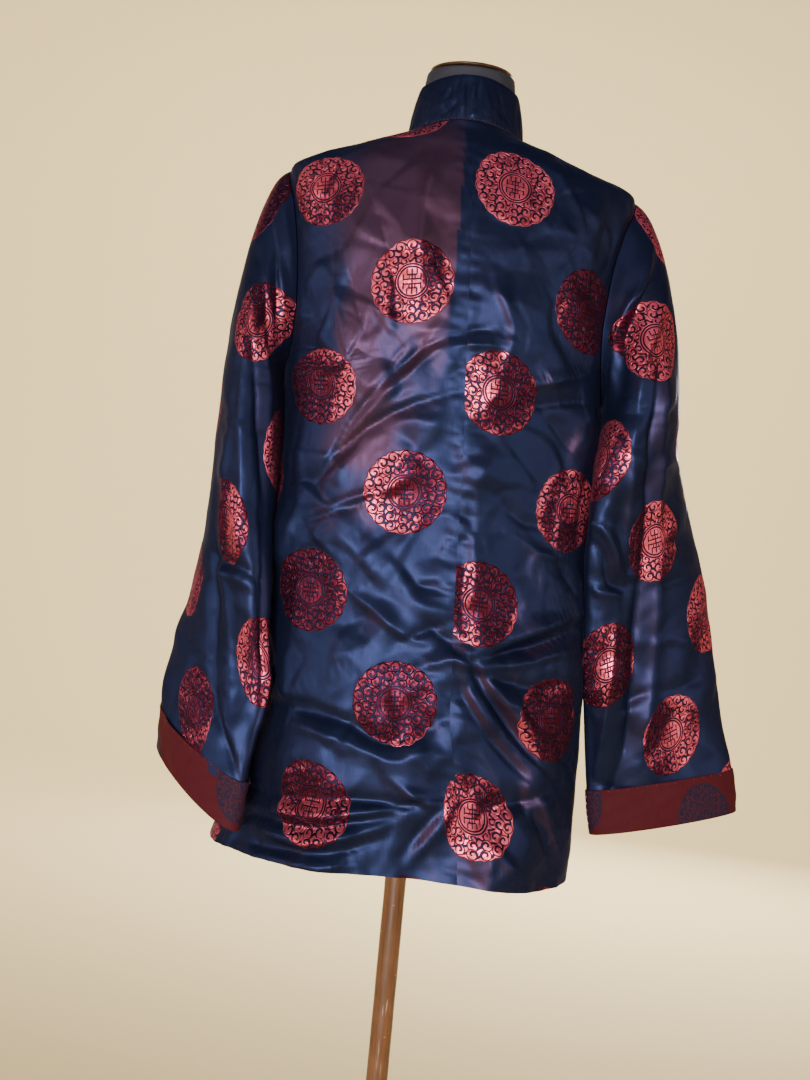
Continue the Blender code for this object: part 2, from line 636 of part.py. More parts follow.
# ---------------------------------------------------------------- the object
def build():
    clear_scene()
    parts = bpy.data.collections.new("tang_jacket_on_form")
    bpy.context.scene.collection.children.link(parts)

    brocade = make_material("brocade", (0.020, 0.028, 0.075), 0.35)
    reverse = make_material("reverse", (0.160, 0.022, 0.026), 0.60)
    navy_satin = make_material("navy_satin", (0.012, 0.018, 0.045), 0.35)
    form_cover = make_material("form_cover", (0.050, 0.055, 0.085), 0.80)
    wood = make_material("wood", (0.300, 0.130, 0.050), 0.40)
    dark_metal = make_material("dark_metal", (0.030, 0.028, 0.026), 0.45, 0.8)

    panels = {}
    for side, sign in (("left", 1), ("right", -1)):
        for half, front in (("back", False), ("front", True)):
            panels[f"{half}_{side}"] = panel_points(sign, front)
            add_cloth(f"{half}_{side}", panels[f"{half}_{side}"], brocade, parts, flip=(sign > 0) != front)
        add_cloth(f"sleeve_{side}", list(zip(*sleeve_points(side))), brocade, parts, closed=True, flip=sign < 0)
        add_cloth(f"cuff_{side}", list(zip(*cuff_points(side))), reverse, parts, closed=True, flip=sign > 0)
    add_cloth("collar", collar_points(panels), navy_satin, parts)

    for number, drop in enumerate(FROG_DROPS, 1):
        add_cord(f"frog_knot_{number}", frog_path(drop, 1, FROG["knot_start"]), navy_satin, parts)
        add_cord(f"frog_loop_{number}", frog_path(drop, -1, FROG["loop_start"]), navy_satin, parts)
        middle = (front_surface(drop, 1e-6) + front_surface(drop, -1e-6)) / 2
        add_ball(f"frog_ball_{number}", middle + np.array((0, -FROG["ball"], 0)), navy_satin, parts)

    add_torso(parts, form_cover)
    add_turned("neck_cap", CAP_PROFILE, NAPE_HEIGHT - NECK[0][0] + CLEARANCE, wood, parts, 32)
    socket_top = NAPE_HEIGHT - TORSO_END_DROP - CLEARANCE
    add_turned("socket", SOCKET_PROFILE, socket_top, dark_metal, parts, 32)
    pole_top, pole_end = socket_top + SOCKET_PROFILE[-1][1] - CLEARANCE, BASE_BOSS_HEIGHT + CLEARANCE
    pole = ((0.0, pole_top), (POLE_RADIUS, pole_top), (POLE_RADIUS, pole_end), (0.0, pole_end))
    add_turned("pole", pole, 0.0, wood, parts, 24)
    add_turned("base", BASE_PROFILE, 0.0, dark_metal, parts, 64)


build()
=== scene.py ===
import math

import bmesh
import bpy
import numpy as np
from mathutils import Matrix, Vector


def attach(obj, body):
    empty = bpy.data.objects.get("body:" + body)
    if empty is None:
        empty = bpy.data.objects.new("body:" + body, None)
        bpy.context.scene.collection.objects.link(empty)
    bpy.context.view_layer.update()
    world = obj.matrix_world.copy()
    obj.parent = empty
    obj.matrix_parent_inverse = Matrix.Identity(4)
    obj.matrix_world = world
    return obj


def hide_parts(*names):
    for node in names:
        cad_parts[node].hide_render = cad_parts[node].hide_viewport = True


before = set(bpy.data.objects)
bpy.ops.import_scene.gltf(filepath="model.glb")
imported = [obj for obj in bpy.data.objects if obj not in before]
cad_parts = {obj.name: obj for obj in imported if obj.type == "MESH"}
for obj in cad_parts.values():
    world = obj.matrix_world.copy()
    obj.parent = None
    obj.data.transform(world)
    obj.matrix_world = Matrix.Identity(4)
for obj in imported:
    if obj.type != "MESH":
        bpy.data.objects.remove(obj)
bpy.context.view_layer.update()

# metres, +Z up; the wearer faces -Y, the wearer's left is +X; a drop is a distance below the nape,
# a turn an angle in degrees from the middle of the back, positive towards the wearer's left

napeHeight = 1.42
floorHeight = 0.0

# camera
camera = {"place": (0.025, 1.77, 0.9655), "lens": 53.2, "roll": 5.4}


def makeCamera(spec):
    lens = bpy.data.cameras.new("studioCamera")
    lens.lens = spec["lens"]
    lens.sensor_width = 36.0
    obj = bpy.data.objects.new("studioCamera", lens)
    bpy.context.scene.collection.objects.link(obj)
    ahead = Vector((0, -1, 0))
    side = ahead.cross(Vector((0, 0, 1)))
    up = side.cross(ahead)
    roll = math.radians(spec["roll"])
    sideRolled = side * math.cos(roll) + up * math.sin(roll)
    upRolled = -side * math.sin(roll) + up * math.cos(roll)
    turn = Matrix((sideRolled, upRolled, -ahead)).transposed()
    obj.matrix_world = Matrix.Translation(Vector(spec["place"])) @ turn.to_4x4()
    bpy.context.scene.camera = obj


makeCamera(camera)
print("camera made")

# reading the tables of sizes


def readColumn(table, names, name, where):  # smooth, never past its rows' values
    xs = np.array([row[0] for row in table])
    ys = np.array([row[names.index(name)] for row in table])
    steps = np.diff(ys) / np.diff(xs)
    slopes = np.zeros(len(xs))
    slopes[0], slopes[-1] = steps[0], steps[-1]
    for i in range(1, len(xs) - 1):
        if steps[i - 1] * steps[i] > 0:
            slopes[i] = 2 * steps[i - 1] * steps[i] / (steps[i - 1] + steps[i])
    where = np.clip(np.asarray(where, float), xs[0], xs[-1])
    i = np.clip(np.searchsorted(xs, where, side="right") - 1, 0, len(xs) - 2)
    width = xs[i + 1] - xs[i]
    t = (where - xs[i]) / width
    return (ys[i] * (1 + 2 * t) * (1 - t) ** 2 + slopes[i] * width * t * (1 - t) ** 2
            + ys[i + 1] * t * t * (3 - 2 * t) + slopes[i + 1] * width * t * t * (t - 1))


def smoothStep(value, low, high):
    t = np.clip((value - low) / (high - low), 0.0, 1.0)
    return t * t * (3 - 2 * t)


def unit(vectors):
    return vectors / np.maximum(np.linalg.norm(vectors, axis=-1, keepdims=True), 1e-12)


def turnedBack(vectors, wrong):  # those marked as pointing the wrong way are reversed
    return np.where(wrong[..., None], -vectors, vectors)


def lengthsAlong(points, axis):  # distance travelled along one axis of a grid
    steps = np.linalg.norm(np.diff(points, axis=axis), axis=-1)
    start = np.zeros_like(np.take(steps, [0], axis=axis))
    return np.concatenate([start, np.cumsum(steps, axis=axis)], axis=axis)


# the jacket's body
bodyNames = ("drop", "halfWidth", "back", "front", "shift", "backTurn", "frontTurn", "sideTurn")
bodyTable = (
    (0.000, 0.0413, 0.0580, 0.0200, 0.000, 0.0, 0.0, 0.0),
    (0.009, 0.0640, 0.0615, 0.0250, 0.000, 0.0, 0.0, 0.0),
    (0.030, 0.1210, 0.0770, 0.0400, 0.000, -0.6, 0.0, 0.0),
    (0.059, 0.1905, 0.0930, 0.0570, -0.002, -1.3, 0.0, 0.0),
    (0.075, 0.1925, 0.0995, 0.0680, -0.002, -1.5, 0.0, 0.0),
    (0.100, 0.1890, 0.1070, 0.0830, -0.001, -2.0, 0.0, 0.0),
    (0.150, 0.1830, 0.1150, 0.1080, 0.000, -3.1, -0.5, 0.0),
    (0.200, 0.1780, 0.1175, 0.1250, 0.000, -3.9, -1.0, 0.0),
    (0.285, 0.1730, 0.1160, 0.1350, -0.001, -5.0, -2.0, 0.0),
    (0.350, 0.1715, 0.1130, 0.1320, -0.003, -5.7, -2.5, -1.0),
    (0.450, 0.1745, 0.1100, 0.1260, -0.0035, -6.5, -3.0, -3.0),
    (0.550, 0.1745, 0.1130, 0.1280, -0.0072, -6.6, -4.0, -5.0),
    (0.630, 0.1760, 0.1200, 0.1340, -0.010, -7.0, -5.0, -7.0),
    (0.720, 0.1880, 0.1290, 0.1430, 0.001, -14.5, -8.0, -10.0),
    (0.815, 0.2000, 0.1370, 0.1510, 0.014, -19.5, -11.0, -13.0),
)
armholeNames = ("drop", "backEdge", "frontEdge")
armholeTable = (
    (0.059, 90.0, 90.0),
    (0.065, 83.0, 78.0),
    (0.075, 77.5, 70.0),
    (0.100, 71.0, 63.5),
    (0.150, 66.7, 62.5),
    (0.200, 66.9, 67.0),
    (0.240, 70.8, 72.5),
    (0.270, 79.5, 81.0),
    (0.285, 90.0, 90.0),
)
bodyFolds = (  # drop, turn, depth, reach down, reach round
    (0.750, 58.0, -0.0230, 0.075, 24.0),  # pressed in by the sleeve
    (0.800, 18.0, 0.0060, 0.090, 12.0),
    (0.800, -8.0, -0.0070, 0.100, 10.0),
    (0.800, -34.0, 0.0060, 0.110, 11.0),
    (0.800, -60.0, -0.0060, 0.090, 11.0),
    (0.545, -16.0, 0.0050, 0.050, 9.0),  # the knot of folds at the waist
    (0.600, -26.0, -0.0050, 0.060, 9.0),
    (0.690, 40.0, 0.0060, 0.020, 25.0),
    (0.800, 112.0, 0.0080, 0.120, 14.0),
    (0.800, 140.0, -0.0070, 0.120, 12.0),
    (0.800, -112.0, 0.0080, 0.110, 13.0),
    (0.800, -142.0, -0.0070, 0.120, 12.0),
)
jacket = {
    "wall": 0.0012, "seamHalfGap": 0.000008, "tipDrop": 0.059, "underarmDrop": 0.285, "hemDrop": 0.800,
    "hemDip": 0.010, "hemDipTurn": -58.0, "hemDipReach": 38.0, "neckHalfWidth": 0.064,
    "neckSideDrop": 0.009, "neckFrontDrop": 0.075, "squareness": 2.3, "ventDrop": 0.655,
    "ventHalfTurn": 0.5, "neckColumns": 34, "neckCrowding": 1.3, "shoulderColumns": 72,
    "upperRows": 112, "lowerRows": 160, "normalStep": 1.5, "levelDrop": 0.2,
}


def bodyAt(name, drop):
    return readColumn(bodyTable, bodyNames, name, drop)


def sectionPoint(drop, turn):
    angle = np.radians(turn)
    sine, cosine = np.sin(angle), np.cos(angle)
    power = 2 / jacket["squareness"]
    depth = np.where(cosine >= 0, bodyAt("back", drop), bodyAt("front", drop))
    x = bodyAt("shift", drop) + bodyAt("halfWidth", drop) * np.sign(sine) * np.abs(sine) ** power
    y = depth * np.sign(cosine) * np.abs(cosine) ** power
    return np.stack(np.broadcast_arrays(x, y, napeHeight - drop), axis=-1)


def sectionNormal(drop, turn):
    step = jacket["normalStep"]
    along = sectionPoint(drop, turn + step) - sectionPoint(drop, turn - step)
    out = np.stack((-along[..., 1], along[..., 0], 0 * along[..., 0]), axis=-1)
    angle = np.radians(turn)
    return unit(turnedBack(out, out[..., 0] * np.sin(angle) + out[..., 1] * np.cos(angle) < 0))


def foldsTotal(folds, drop, turn):
    total = 0.0
    for foldDrop, foldTurn, depth, reachDrop, reachTurn in folds:
        away = (turn - foldTurn + 180) % 360 - 180
        total = total + depth * np.exp(-((drop - foldDrop) / reachDrop) ** 2 - (away / reachTurn) ** 2)
    return total


def panelEdges(drop, sign, front):
    centre = bodyAt("frontTurn" if front else "backTurn", drop)
    armhole = readColumn(armholeTable, armholeNames, "frontEdge" if front else "backEdge", drop)
    edge = np.where((drop >= jacket["tipDrop"]) & (drop < jacket["underarmDrop"]), armhole, 90.0)
    edge = 180 - edge if front else edge
    belowVent = np.maximum(0.0, drop - jacket["ventDrop"])
    slit = jacket["ventHalfTurn"] * belowVent / (jacket["hemDrop"] - jacket["ventDrop"])
    outer = sign * edge + bodyAt("sideTurn", drop) + (sign if front else -sign) * slit
    if front:
        centre = centre + (180.0 if sign > 0 else -180.0)
    return centre, outer


def turnsAt(drop, start, end, reach, samples=80):  # the turn a distance along a section
    share = np.linspace(0, 1, samples)
    turns = start[..., None] + (end - start)[..., None] * share
    lengths = lengthsAlong(sectionPoint(drop[..., None], turns), turns.ndim - 1)
    reach = reach(lengths[..., -1])
    i = np.clip((lengths < reach[..., None]).sum(-1) - 1, 0, samples - 2)[..., None]
    low, high = np.take_along_axis(lengths, i, -1)[..., 0], np.take_along_axis(lengths, i + 1, -1)[..., 0]
    t = (reach - low) / np.maximum(high - low, 1e-9)
    at = (i[..., 0] + t) / (samples - 1)
    return start + (end - start) * at, reach


def topEdge(sign, front, samples=60):
    fall = jacket["neckFrontDrop"] if front else 0.0
    drops = np.linspace(fall, jacket["neckSideDrop"], samples)
    if front:
        low = (drops - jacket["neckSideDrop"]) / (fall - jacket["neckSideDrop"])
        half = np.sqrt(np.maximum(0, 1 - low ** 2))
    else:
        half = np.sqrt(drops / jacket["neckSideDrop"])
    half = jacket["neckHalfWidth"] * half
    share = np.linspace(0, 1, 120)
    centre, outer = panelEdges(drops, sign, front)
    turns = centre[:, None] + (sign * 90.0 - centre)[:, None] * share
    points = sectionPoint(drops[:, None], turns)
    lengths = lengthsAlong(points, 1)
    across = [np.interp(half[k], np.abs(points[k, :, 0]), lengths[k]) for k in range(samples)]
    slope = np.linspace(jacket["neckSideDrop"], jacket["tipDrop"], samples)[1:]
    centre, outer = panelEdges(slope, sign, front)
    turns = centre[:, None] + (outer - centre)[:, None] * share
    across += list(lengthsAlong(sectionPoint(slope[:, None], turns), 1)[:, -1])
    return np.maximum.accumulate(np.array(across)), np.concatenate((drops, slope))


def hemDropAt(turn):
    away = (turn - jacket["hemDipTurn"] + 180) % 360 - 180
    return jacket["hemDrop"] + jacket["hemDip"] * np.exp(-(away / jacket["hemDipReach"]) ** 2)


def panelGrid(sign, front):  # columns across from the centre seam, rows down
    across, edgeDrops = topEdge(sign, front)
    full = across[-1]
    neck = across[np.argmin(np.abs(edgeDrops - jacket["neckSideDrop"]))] / full
    k = np.arange(jacket["neckColumns"]) / jacket["neckColumns"]
    shares = np.concatenate((neck * (1 - (1 - k) ** jacket["neckCrowding"]),
                             neck + (1 - neck) * np.linspace(0, 1, jacket["shoulderColumns"] + 1)))
    starts = np.interp(shares * full, across, edgeDrops)
    centre, outer = panelEdges(np.array(jacket["hemDrop"]), sign, front)
    hems = hemDropAt(centre + shares * (outer - centre))
    t = np.arange(jacket["upperRows"] + 1) / jacket["upperRows"]
    fall = 0.5 * (1 - np.cos(np.pi * t)) / 2 + 0.5 * t
    upper = starts[:, None] + (jacket["underarmDrop"] - starts)[:, None] * fall
    steps = np.arange(1, jacket["lowerRows"] + 1)
    lower = jacket["underarmDrop"] + (hems - jacket["underarmDrop"])[:, None] * steps / jacket["lowerRows"]
    drops = np.concatenate((upper, lower), axis=1)
    centre, outer = panelEdges(drops, sign, front)
    share = np.broadcast_to(shares[:, None], drops.shape)
    turns, reach = turnsAt(drops, centre, outer, lambda whole: np.where(
        drops < jacket["tipDrop"], np.minimum(share * full, whole), share * whole))
    points = sectionPoint(drops, turns)
    normals = sectionNormal(drops, turns)
    points = points + foldsTotal(bodyFolds, drops, turns)[..., None] * normals
    gap = jacket["seamHalfGap"]
    points = points + np.array((sign * gap, -gap if front else gap, 0.0))
    down = lengthsAlong(points, 1)
    level = np.array([np.interp(jacket["levelDrop"], drops[c], down[c]) for c in range(len(shares))])
    return {"points": points, "normals": normals, "drops": drops,
            "uv": np.stack((sign * reach, down - level[:, None]), axis=-1)}


# the sleeves
sleeveNames = ("drop", "out", "back", "long", "thick", "facing", "lift")
sleeveLeft = (
    (0.300, 0.2080, 0.000, 0.0800, 0.0335, 90.0, 0.0),
    (0.375, 0.2066, 0.010, 0.0770, 0.0364, 84.0, 2.0),
    (0.440, 0.2083, 0.017, 0.0760, 0.0343, 78.0, 4.0),
    (0.500, 0.2106, 0.022, 0.0750, 0.0305, 65.0, 7.0),
    (0.555, 0.2117, 0.024, 0.0740, 0.0270, 54.0, 11.0),
    (0.605, 0.2120, 0.033, 0.0735, 0.0245, 41.0, 15.0),
    (0.655, 0.2193, 0.042, 0.0730, 0.0225, 42.0, 20.0),
    (0.695, 0.2215, 0.048, 0.0710, 0.0210, 42.5, 25.0),
    (0.738, 0.2225, 0.052, 0.0690, 0.0205, 45.0, 27.0),
)
sleeveRight = (
    (0.300, 0.2212, 0.003, 0.0780, 0.0423, 86.0, 0.0),
    (0.375, 0.2275, 0.013, 0.0780, 0.0372, 55.0, 2.0),
    (0.480, 0.2440, 0.009, 0.0802, 0.0320, 32.0, 5.0),
    (0.575, 0.2590, 0.002, 0.0805, 0.0280, 22.0, 8.0),
    (0.640, 0.2712, -0.004, 0.0787, 0.0250, 14.0, 11.0),
    (0.700, 0.2830, -0.008, 0.0800, 0.0220, 8.0, 13.0),
    (0.740, 0.2905, -0.010, 0.0805, 0.0220, 8.0, 13.0),
)
leftFolds = (
    (0.470, 60.0, -0.0060, 0.060, 24.0),
    (0.560, 120.0, 0.0040, 0.050, 24.0),
    (0.450, 250.0, -0.0050, 0.060, 24.0),
)
rightFolds = (
    (0.430, 95.0, -0.0070, 0.090, 16.0),
    (0.560, 70.0, -0.0060, 0.120, 14.0),
    (0.500, 280.0, -0.0060, 0.100, 20.0),
)
sleeveHeads = {
    "left": {"topStart": 0.030, "topEnd": 0.110, "underStart": 0.006, "underEnd": 0.006},
    "right": {"topStart": 0.034, "topEnd": 0.105, "underStart": 0.006, "underEnd": 0.006},
}
sleeves = {
    "around": 150, "headRings": 44, "lowerRings": 112, "gap": 0.0011, "fullness": 0.010, "lean": 0.04,
    "out": 0.80, "outMore": 0.13, "foreAndAft": 0.35, "up": -0.60, "upMore": 0.23,
}


def armholePoint(sign, around):
    fall = (1 - np.cos(np.radians(around))) / 2
    drop = jacket["tipDrop"] + (jacket["underarmDrop"] - jacket["tipDrop"]) * fall
    back, front = panelEdges(drop, sign, False)[1], panelEdges(drop, sign, True)[1]
    return sectionPoint(drop, np.where(around % 360 > 180, front, back))


def sleeveRing(table, sign, drop, around):
    read = {name: readColumn(table, sleeveNames, name, drop) for name in sleeveNames[1:]}
    facing = np.radians(read["facing"])
    angle = np.radians(around) + facing - math.pi / 2
    along = -read["long"] * np.sin(angle)
    across = read["thick"] * np.cos(angle)
    x = read["out"] + across * np.sin(facing) + along * np.cos(facing)
    y = read["back"] + across * np.cos(facing) - along * np.sin(facing)
    rise = along * np.tan(np.radians(read["lift"]))
    return np.stack(np.broadcast_arrays(sign * x, y, napeHeight - drop + rise), axis=-1)


def sleeveHead(table, head, sign, share, around):
    angle = np.radians(around)
    top = (1 + np.cos(angle)) / 2
    start = armholePoint(sign, around)
    end = sleeveRing(table, sign, np.full_like(around, table[0][0]), around)
    out, up = sleeves["out"] + sleeves["outMore"] * top, sleeves["up"] + sleeves["upMore"] * top
    way = unit(np.stack((sign * out, sleeves["foreAndAft"] * np.sin(angle), up), axis=-1))
    start = start + sleeves["gap"] * way
    leave = head["underStart"] + (head["topStart"] - head["underStart"]) * top
    leave = leave + sleeves["fullness"] * np.sin(angle) ** 2
    arrive = head["underEnd"] + (head["topEnd"] - head["underEnd"]) * top
    first = start + leave[..., None] * way
    second = end + np.stack((-sign * sleeves["lean"] * top * arrive, 0 * arrive, arrive), axis=-1)
    s, r = share[..., None], 1 - share[..., None]
    return r ** 3 * start + 3 * r * r * s * first + 3 * r * s * s * second + s ** 3 * end


def levelNormals(points):  # straight out of each closed level ring; the last axis but one goes round
    along = np.roll(points, -1, axis=-2) - np.roll(points, 1, axis=-2)
    out = np.stack((along[..., 1], -along[..., 0], 0 * along[..., 0]), axis=-1)
    middle = points.mean(axis=-2, keepdims=True)
    return unit(turnedBack(out, (out * (points - middle)).sum(-1) < 0))


def sleeveTurns():  # round from the underarm (-180) past the back or front to 180
    return -180.0 + 360.0 * np.arange(sleeves["around"]) / sleeves["around"]


def clothAround(points):  # distances round and down a closed grid; the seam's station is there twice
    closed = np.concatenate((points, points[:, :1]), axis=1)
    girth = lengthsAlong(closed, 1)
    return girth - girth[:, sleeves["around"] // 2][:, None], lengthsAlong(closed, 0)


def sleeveGrid(sign):  # rings down, stations round
    table, folds, head = ((sleeveLeft, leftFolds, sleeveHeads["left"]) if sign > 0
                          else (sleeveRight, rightFolds, sleeveHeads["right"]))
    arounds = sleeveTurns()
    first, last = table[0][0], table[-1][0]
    shares = np.linspace(0, 1, sleeves["headRings"] + 1)
    heads = sleeveHead(table, head, sign, *np.meshgrid(shares, arounds, indexing="ij"))
    lower = np.linspace(first, last, sleeves["lowerRings"] + 1)[1:]
    lowers = sleeveRing(table, sign, *np.meshgrid(lower, arounds, indexing="ij"))
    points = np.concatenate((heads, lowers))
    drops = np.concatenate((jacket["tipDrop"] + (first - jacket["tipDrop"]) * shares, lower))
    drops = np.broadcast_to(drops[:, None], points.shape[:2])
    normals = levelNormals(points)
    depth = foldsTotal(folds, drops, np.broadcast_to(arounds % 360, drops.shape))
    points = points + depth[..., None] * normals
    across, down = clothAround(points)
    across[:len(shares)] = across[len(shares) - 1]
    down = down - down[len(shares) - 1]
    down[len(shares):] = down[len(shares):].mean(1, keepdims=True)  # a ring lies along one weft thread
    return {"points": points, "normals": normals, "uv": np.stack((sign * across, down), axis=-1)}


# creases: where each runs, first those seen from the back, then those seen from the front
creases = {  # width, depth, lean, path as (x, drop); millimetres
    "body": (
        (9, -3, 0.8, ((-2, 240), (28, 257), (64, 296), (93, 336), (121, 394))),
        (12, 3.4, -0.6, ((11, 257), (42, 287), (74, 324), (111, 374))),
        (8, -2.6, 0.6, ((-12, 297), (33, 314), (72, 338), (106, 368), (124, 395))),
        (13, 2.2, 0.5, ((126, 175), (118, 213), (105, 254), (93, 294))),
        (9, -1.4, 0.0, ((113, 173), (99, 212), (86, 242))),
        (6, -1, 0.3, ((39, 248), (52, 265), (61, 283))),
        (7, -1.8, 0.0, ((-12, 241), (-30, 231), (-53, 233))),
        (7, 1.8, 0.0, ((-15, 249), (-33, 246), (-56, 246))),
        (9, 2.6, 0.5, ((-99, 282), (-124, 272), (-151, 261))),
        (8, -2.4, 0.4, ((-81, 307), (-122, 297), (-162, 289))),
        (8, -1.8, 0.5, ((-107, 309), (-127, 328), (-148, 353))),
        (10, 2, 0.0, ((-163, 293), (-151, 317), (-143, 345))),
        (7, -1.8, 0.4, ((157, 259), (134, 262), (113, 267))),
        (7, -2.2, 0.6, ((150, 400), (131, 404), (115, 419))),
        (9, -2.6, 0.6, ((129, 444), (100, 432), (63, 415))),
        (9, 2.4, -0.5, ((124, 435), (91, 419), (51, 403))),
        (7, 1.8, 0.3, ((124, 451), (113, 465), (96, 478))),
        (9, 2.6, 0.6, ((83, 510), (52, 530), (19, 552), (0, 558))),
        (7, -2.2, 0.5, ((28, 480), (5, 501), (-18, 505))),
        (7, -2.4, 0.5, ((18, 560), (-5, 548), (-26, 537))),
        (9, 2, 0.5, ((-44, 406), (-48, 468), (-46, 531))),
        (8, -2, 0.5, ((-37, 469), (-41, 521), (-51, 562))),
        (11, 5, 0.6, ((-76, 564), (-103, 547), (-135, 531), (-171, 516))),
        (8, -4.6, 0.5, ((-60, 571), (-89, 563), (-125, 553), (-169, 530))),
        (8, 3.4, 0.4, ((-69, 579), (-101, 574), (-134, 564), (-167, 553))),
        (9, -3.6, -0.4, ((-66, 586), (-100, 593), (-134, 596), (-166, 586))),
        (8, -4.2, 0.7, ((-49, 568), (-64, 594), (-90, 627), (-118, 658), (-146, 686))),
        (10, 4.2, 0.5, ((-58, 572), (-82, 601), (-111, 631), (-143, 659))),
        (8, -3.2, 0.4, ((-41, 586), (-54, 618), (-80, 649), (-107, 675), (-135, 700))),
        (9, 3, 0.4, ((-46, 581), (-60, 611), (-83, 640), (-115, 670))),
        (7, 2.6, 0.0, ((-52, 553), (-49, 568), (-55, 580))),
        (8, -3, 0.5, ((-9, 543), (-30, 558), (-50, 572))),
        (9, 2.6, 0.4, ((-3, 585), (-27, 575), (-49, 568))),
        (7, 2.6, 0.6, ((-137, 708), (-150, 734), (-166, 772))),
        (8, -2.6, 0.5, ((-130, 715), (-143, 743), (-155, 779))),
        (9, 3, 0.5, ((-88, 754), (-104, 774), (-127, 794))),
        (14, -6, 0.6, ((-71, 754), (-98, 726), (-124, 717), (-146, 705))),
        (10, -3.4, 0.7, ((161, 640), (116, 644), (69, 650), (31, 665), (-2, 660), (-27, 641))),
        (14, 3.2, -0.4, ((155, 656), (105, 660), (62, 668), (19, 681), (-11, 672))),
        (8, -4, 0.6, ((170, 738), (118, 737), (62, 728), (4, 727), (-32, 717))),
        (10, 4.4, 0.3, ((171, 752), (127, 751), (76, 745), (25, 732), (-20, 715))),
        (8, -4, 0.4, ((172, 766), (137, 761), (95, 761), (54, 751), (19, 741))),
        (9, 4, 0.4, ((181, 780), (144, 772), (104, 777), (58, 764), (23, 752))),
        (8, -3.4, 0.4, ((165, 791), (119, 786), (72, 782), (27, 767))),
        (7, 3, 0.0, ((149, 797), (102, 797), (50, 792))),
        (8, 3.4, 0.6, ((8, 707), (-14, 720), (-37, 724))),
        (8, -3, 0.5, ((-37, 726), (-22, 746), (-2, 777))),
        (9, 3.2, -0.5, ((-46, 731), (-32, 755), (-12, 786))),
        (9, 2.4, 0.4, ((-50, 197), (-65, 227), (-62, 261))),
        (10, -1.8, 0.3, ((92, 107), (66, 167), (53, 238))),
        (10, 1.8, 0.3, ((34, 60), (37, 122), (35, 205))),
        (8, -1.6, 0.4, ((148, 315), (151, 362), (152, 404))),
        (9, 2.4, 0.5, ((155, 425), (154, 467), (153, 519))),
        (9, -2.6, 0.4, ((-137, 460), (-155, 490), (-169, 511))),
        (8, 2.2, 0.5, ((-94, 443), (-121, 457), (-158, 458))),
        (8, -1.8, 0.4, ((-69, 404), (-92, 423), (-126, 430))),
    ),
    "sleeveLeft": (
        (6, 3.2, 0.3, ((191, 87), (181, 125), (172, 167), (166, 219))),
        (8, -4.5, 0.4, ((203, 125), (191, 187), (177, 251), (167, 315))),
        (6, 2.6, 0.3, ((193, 152), (182, 197), (175, 246))),
        (7, -3, -0.3, ((212, 168), (197, 219), (189, 262))),
        (9, 3.2, 0.3, ((215, 259), (211, 330), (204, 395), (201, 471))),
        (8, -4.2, 0.4, ((206, 266), (192, 344), (179, 414), (176, 469))),
        (6, 2.4, 0.3, ((194, 253), (184, 328), (172, 392))),
        (10, -5, 0.8, ((234, 333), (236, 409), (231, 485), (221, 560), (213, 636))),
        (10, 4, -0.6, ((221, 365), (221, 430), (215, 494), (203, 558), (193, 633))),
        (9, -4, 0.4, ((180, 448), (172, 511), (165, 575), (162, 629))),
        (6, -3, 0.6, ((233, 491), (215, 496), (196, 500), (174, 512))),
        (6, 2.6, 0.3, ((227, 508), (207, 510), (180, 521))),
        (5, -2, 0.4, ((249, 476), (237, 485), (227, 497))),
        (7, -3, 0.4, ((213, 642), (194, 680), (178, 719))),
        (6, 2.6, 0.4, ((204, 644), (188, 680), (174, 711))),
        (5, -1.6, 0.3, ((234, 198), (224, 191), (213, 190))),
        (5, -1.8, 0.3, ((234, 231), (227, 224), (219, 228))),
        (5, 1.6, 0.3, ((236, 341), (225, 346), (211, 352))),
        (6, -2, 0.4, ((258, 585), (239, 599), (220, 603))),
    ),
    "sleeveRight": (
        (8, 4, 0.5, ((-211, 106), (-198, 157), (-181, 204), (-173, 262))),
        (11, -7, 0.4, ((-219, 136), (-204, 181), (-185, 227), (-177, 293), (-175, 337))),
        (7, 3.4, 0.2, ((-232, 155), (-221, 200), (-210, 245), (-208, 322))),
        (8, -5, 0.3, ((-226, 245), (-226, 321), (-230, 387), (-233, 452))),
        (7, 3.2, 0.2, ((-235, 233), (-236, 298), (-242, 364), (-247, 429))),
        (9, 3.2, 0.2, ((-206, 312), (-208, 378), (-211, 432))),
        (6, -2.4, 0.5, ((-235, 300), (-245, 295), (-255, 285))),
        (6, 2.2, 0.4, ((-240, 352), (-254, 342), (-272, 347))),
        (6, 4.4, 0.6, ((-170, 417), (-186, 426), (-198, 446), (-209, 469), (-225, 472))),
        (7, -4.6, 0.4, ((-173, 436), (-186, 452), (-195, 477), (-211, 486), (-227, 478))),
        (6, 3, 0.3, ((-173, 479), (-187, 491), (-205, 491), (-223, 481))),
        (13, -7, 0.2, ((-234, 448), (-233, 518), (-236, 583), (-236, 649), (-227, 702))),
        (9, 3.6, 0.3, ((-251, 450), (-255, 516), (-258, 593), (-254, 670))),
        (9, 3, 0.3, ((-209, 498), (-211, 563), (-210, 628), (-207, 683))),
        (6, -1.8, 0.4, ((-256, 436), (-277, 429), (-302, 430))),
        (6, -2, 0.4, ((-249, 482), (-272, 473), (-296, 462))),
        (7, 1.8, 0.3, ((-257, 541), (-283, 536), (-314, 542))),
        (7, -1.8, 0.3, ((-260, 598), (-287, 589), (-322, 575))),
        (6, -2.4, 0.4, ((-227, 620), (-243, 603), (-258, 593))),
        (6, -2.4, 0.4, ((-210, 700), (-233, 709), (-260, 711), (-303, 698))),
        (5, 1.6, 0.3, ((-236, 162), (-243, 195), (-250, 234))),
    ),
}
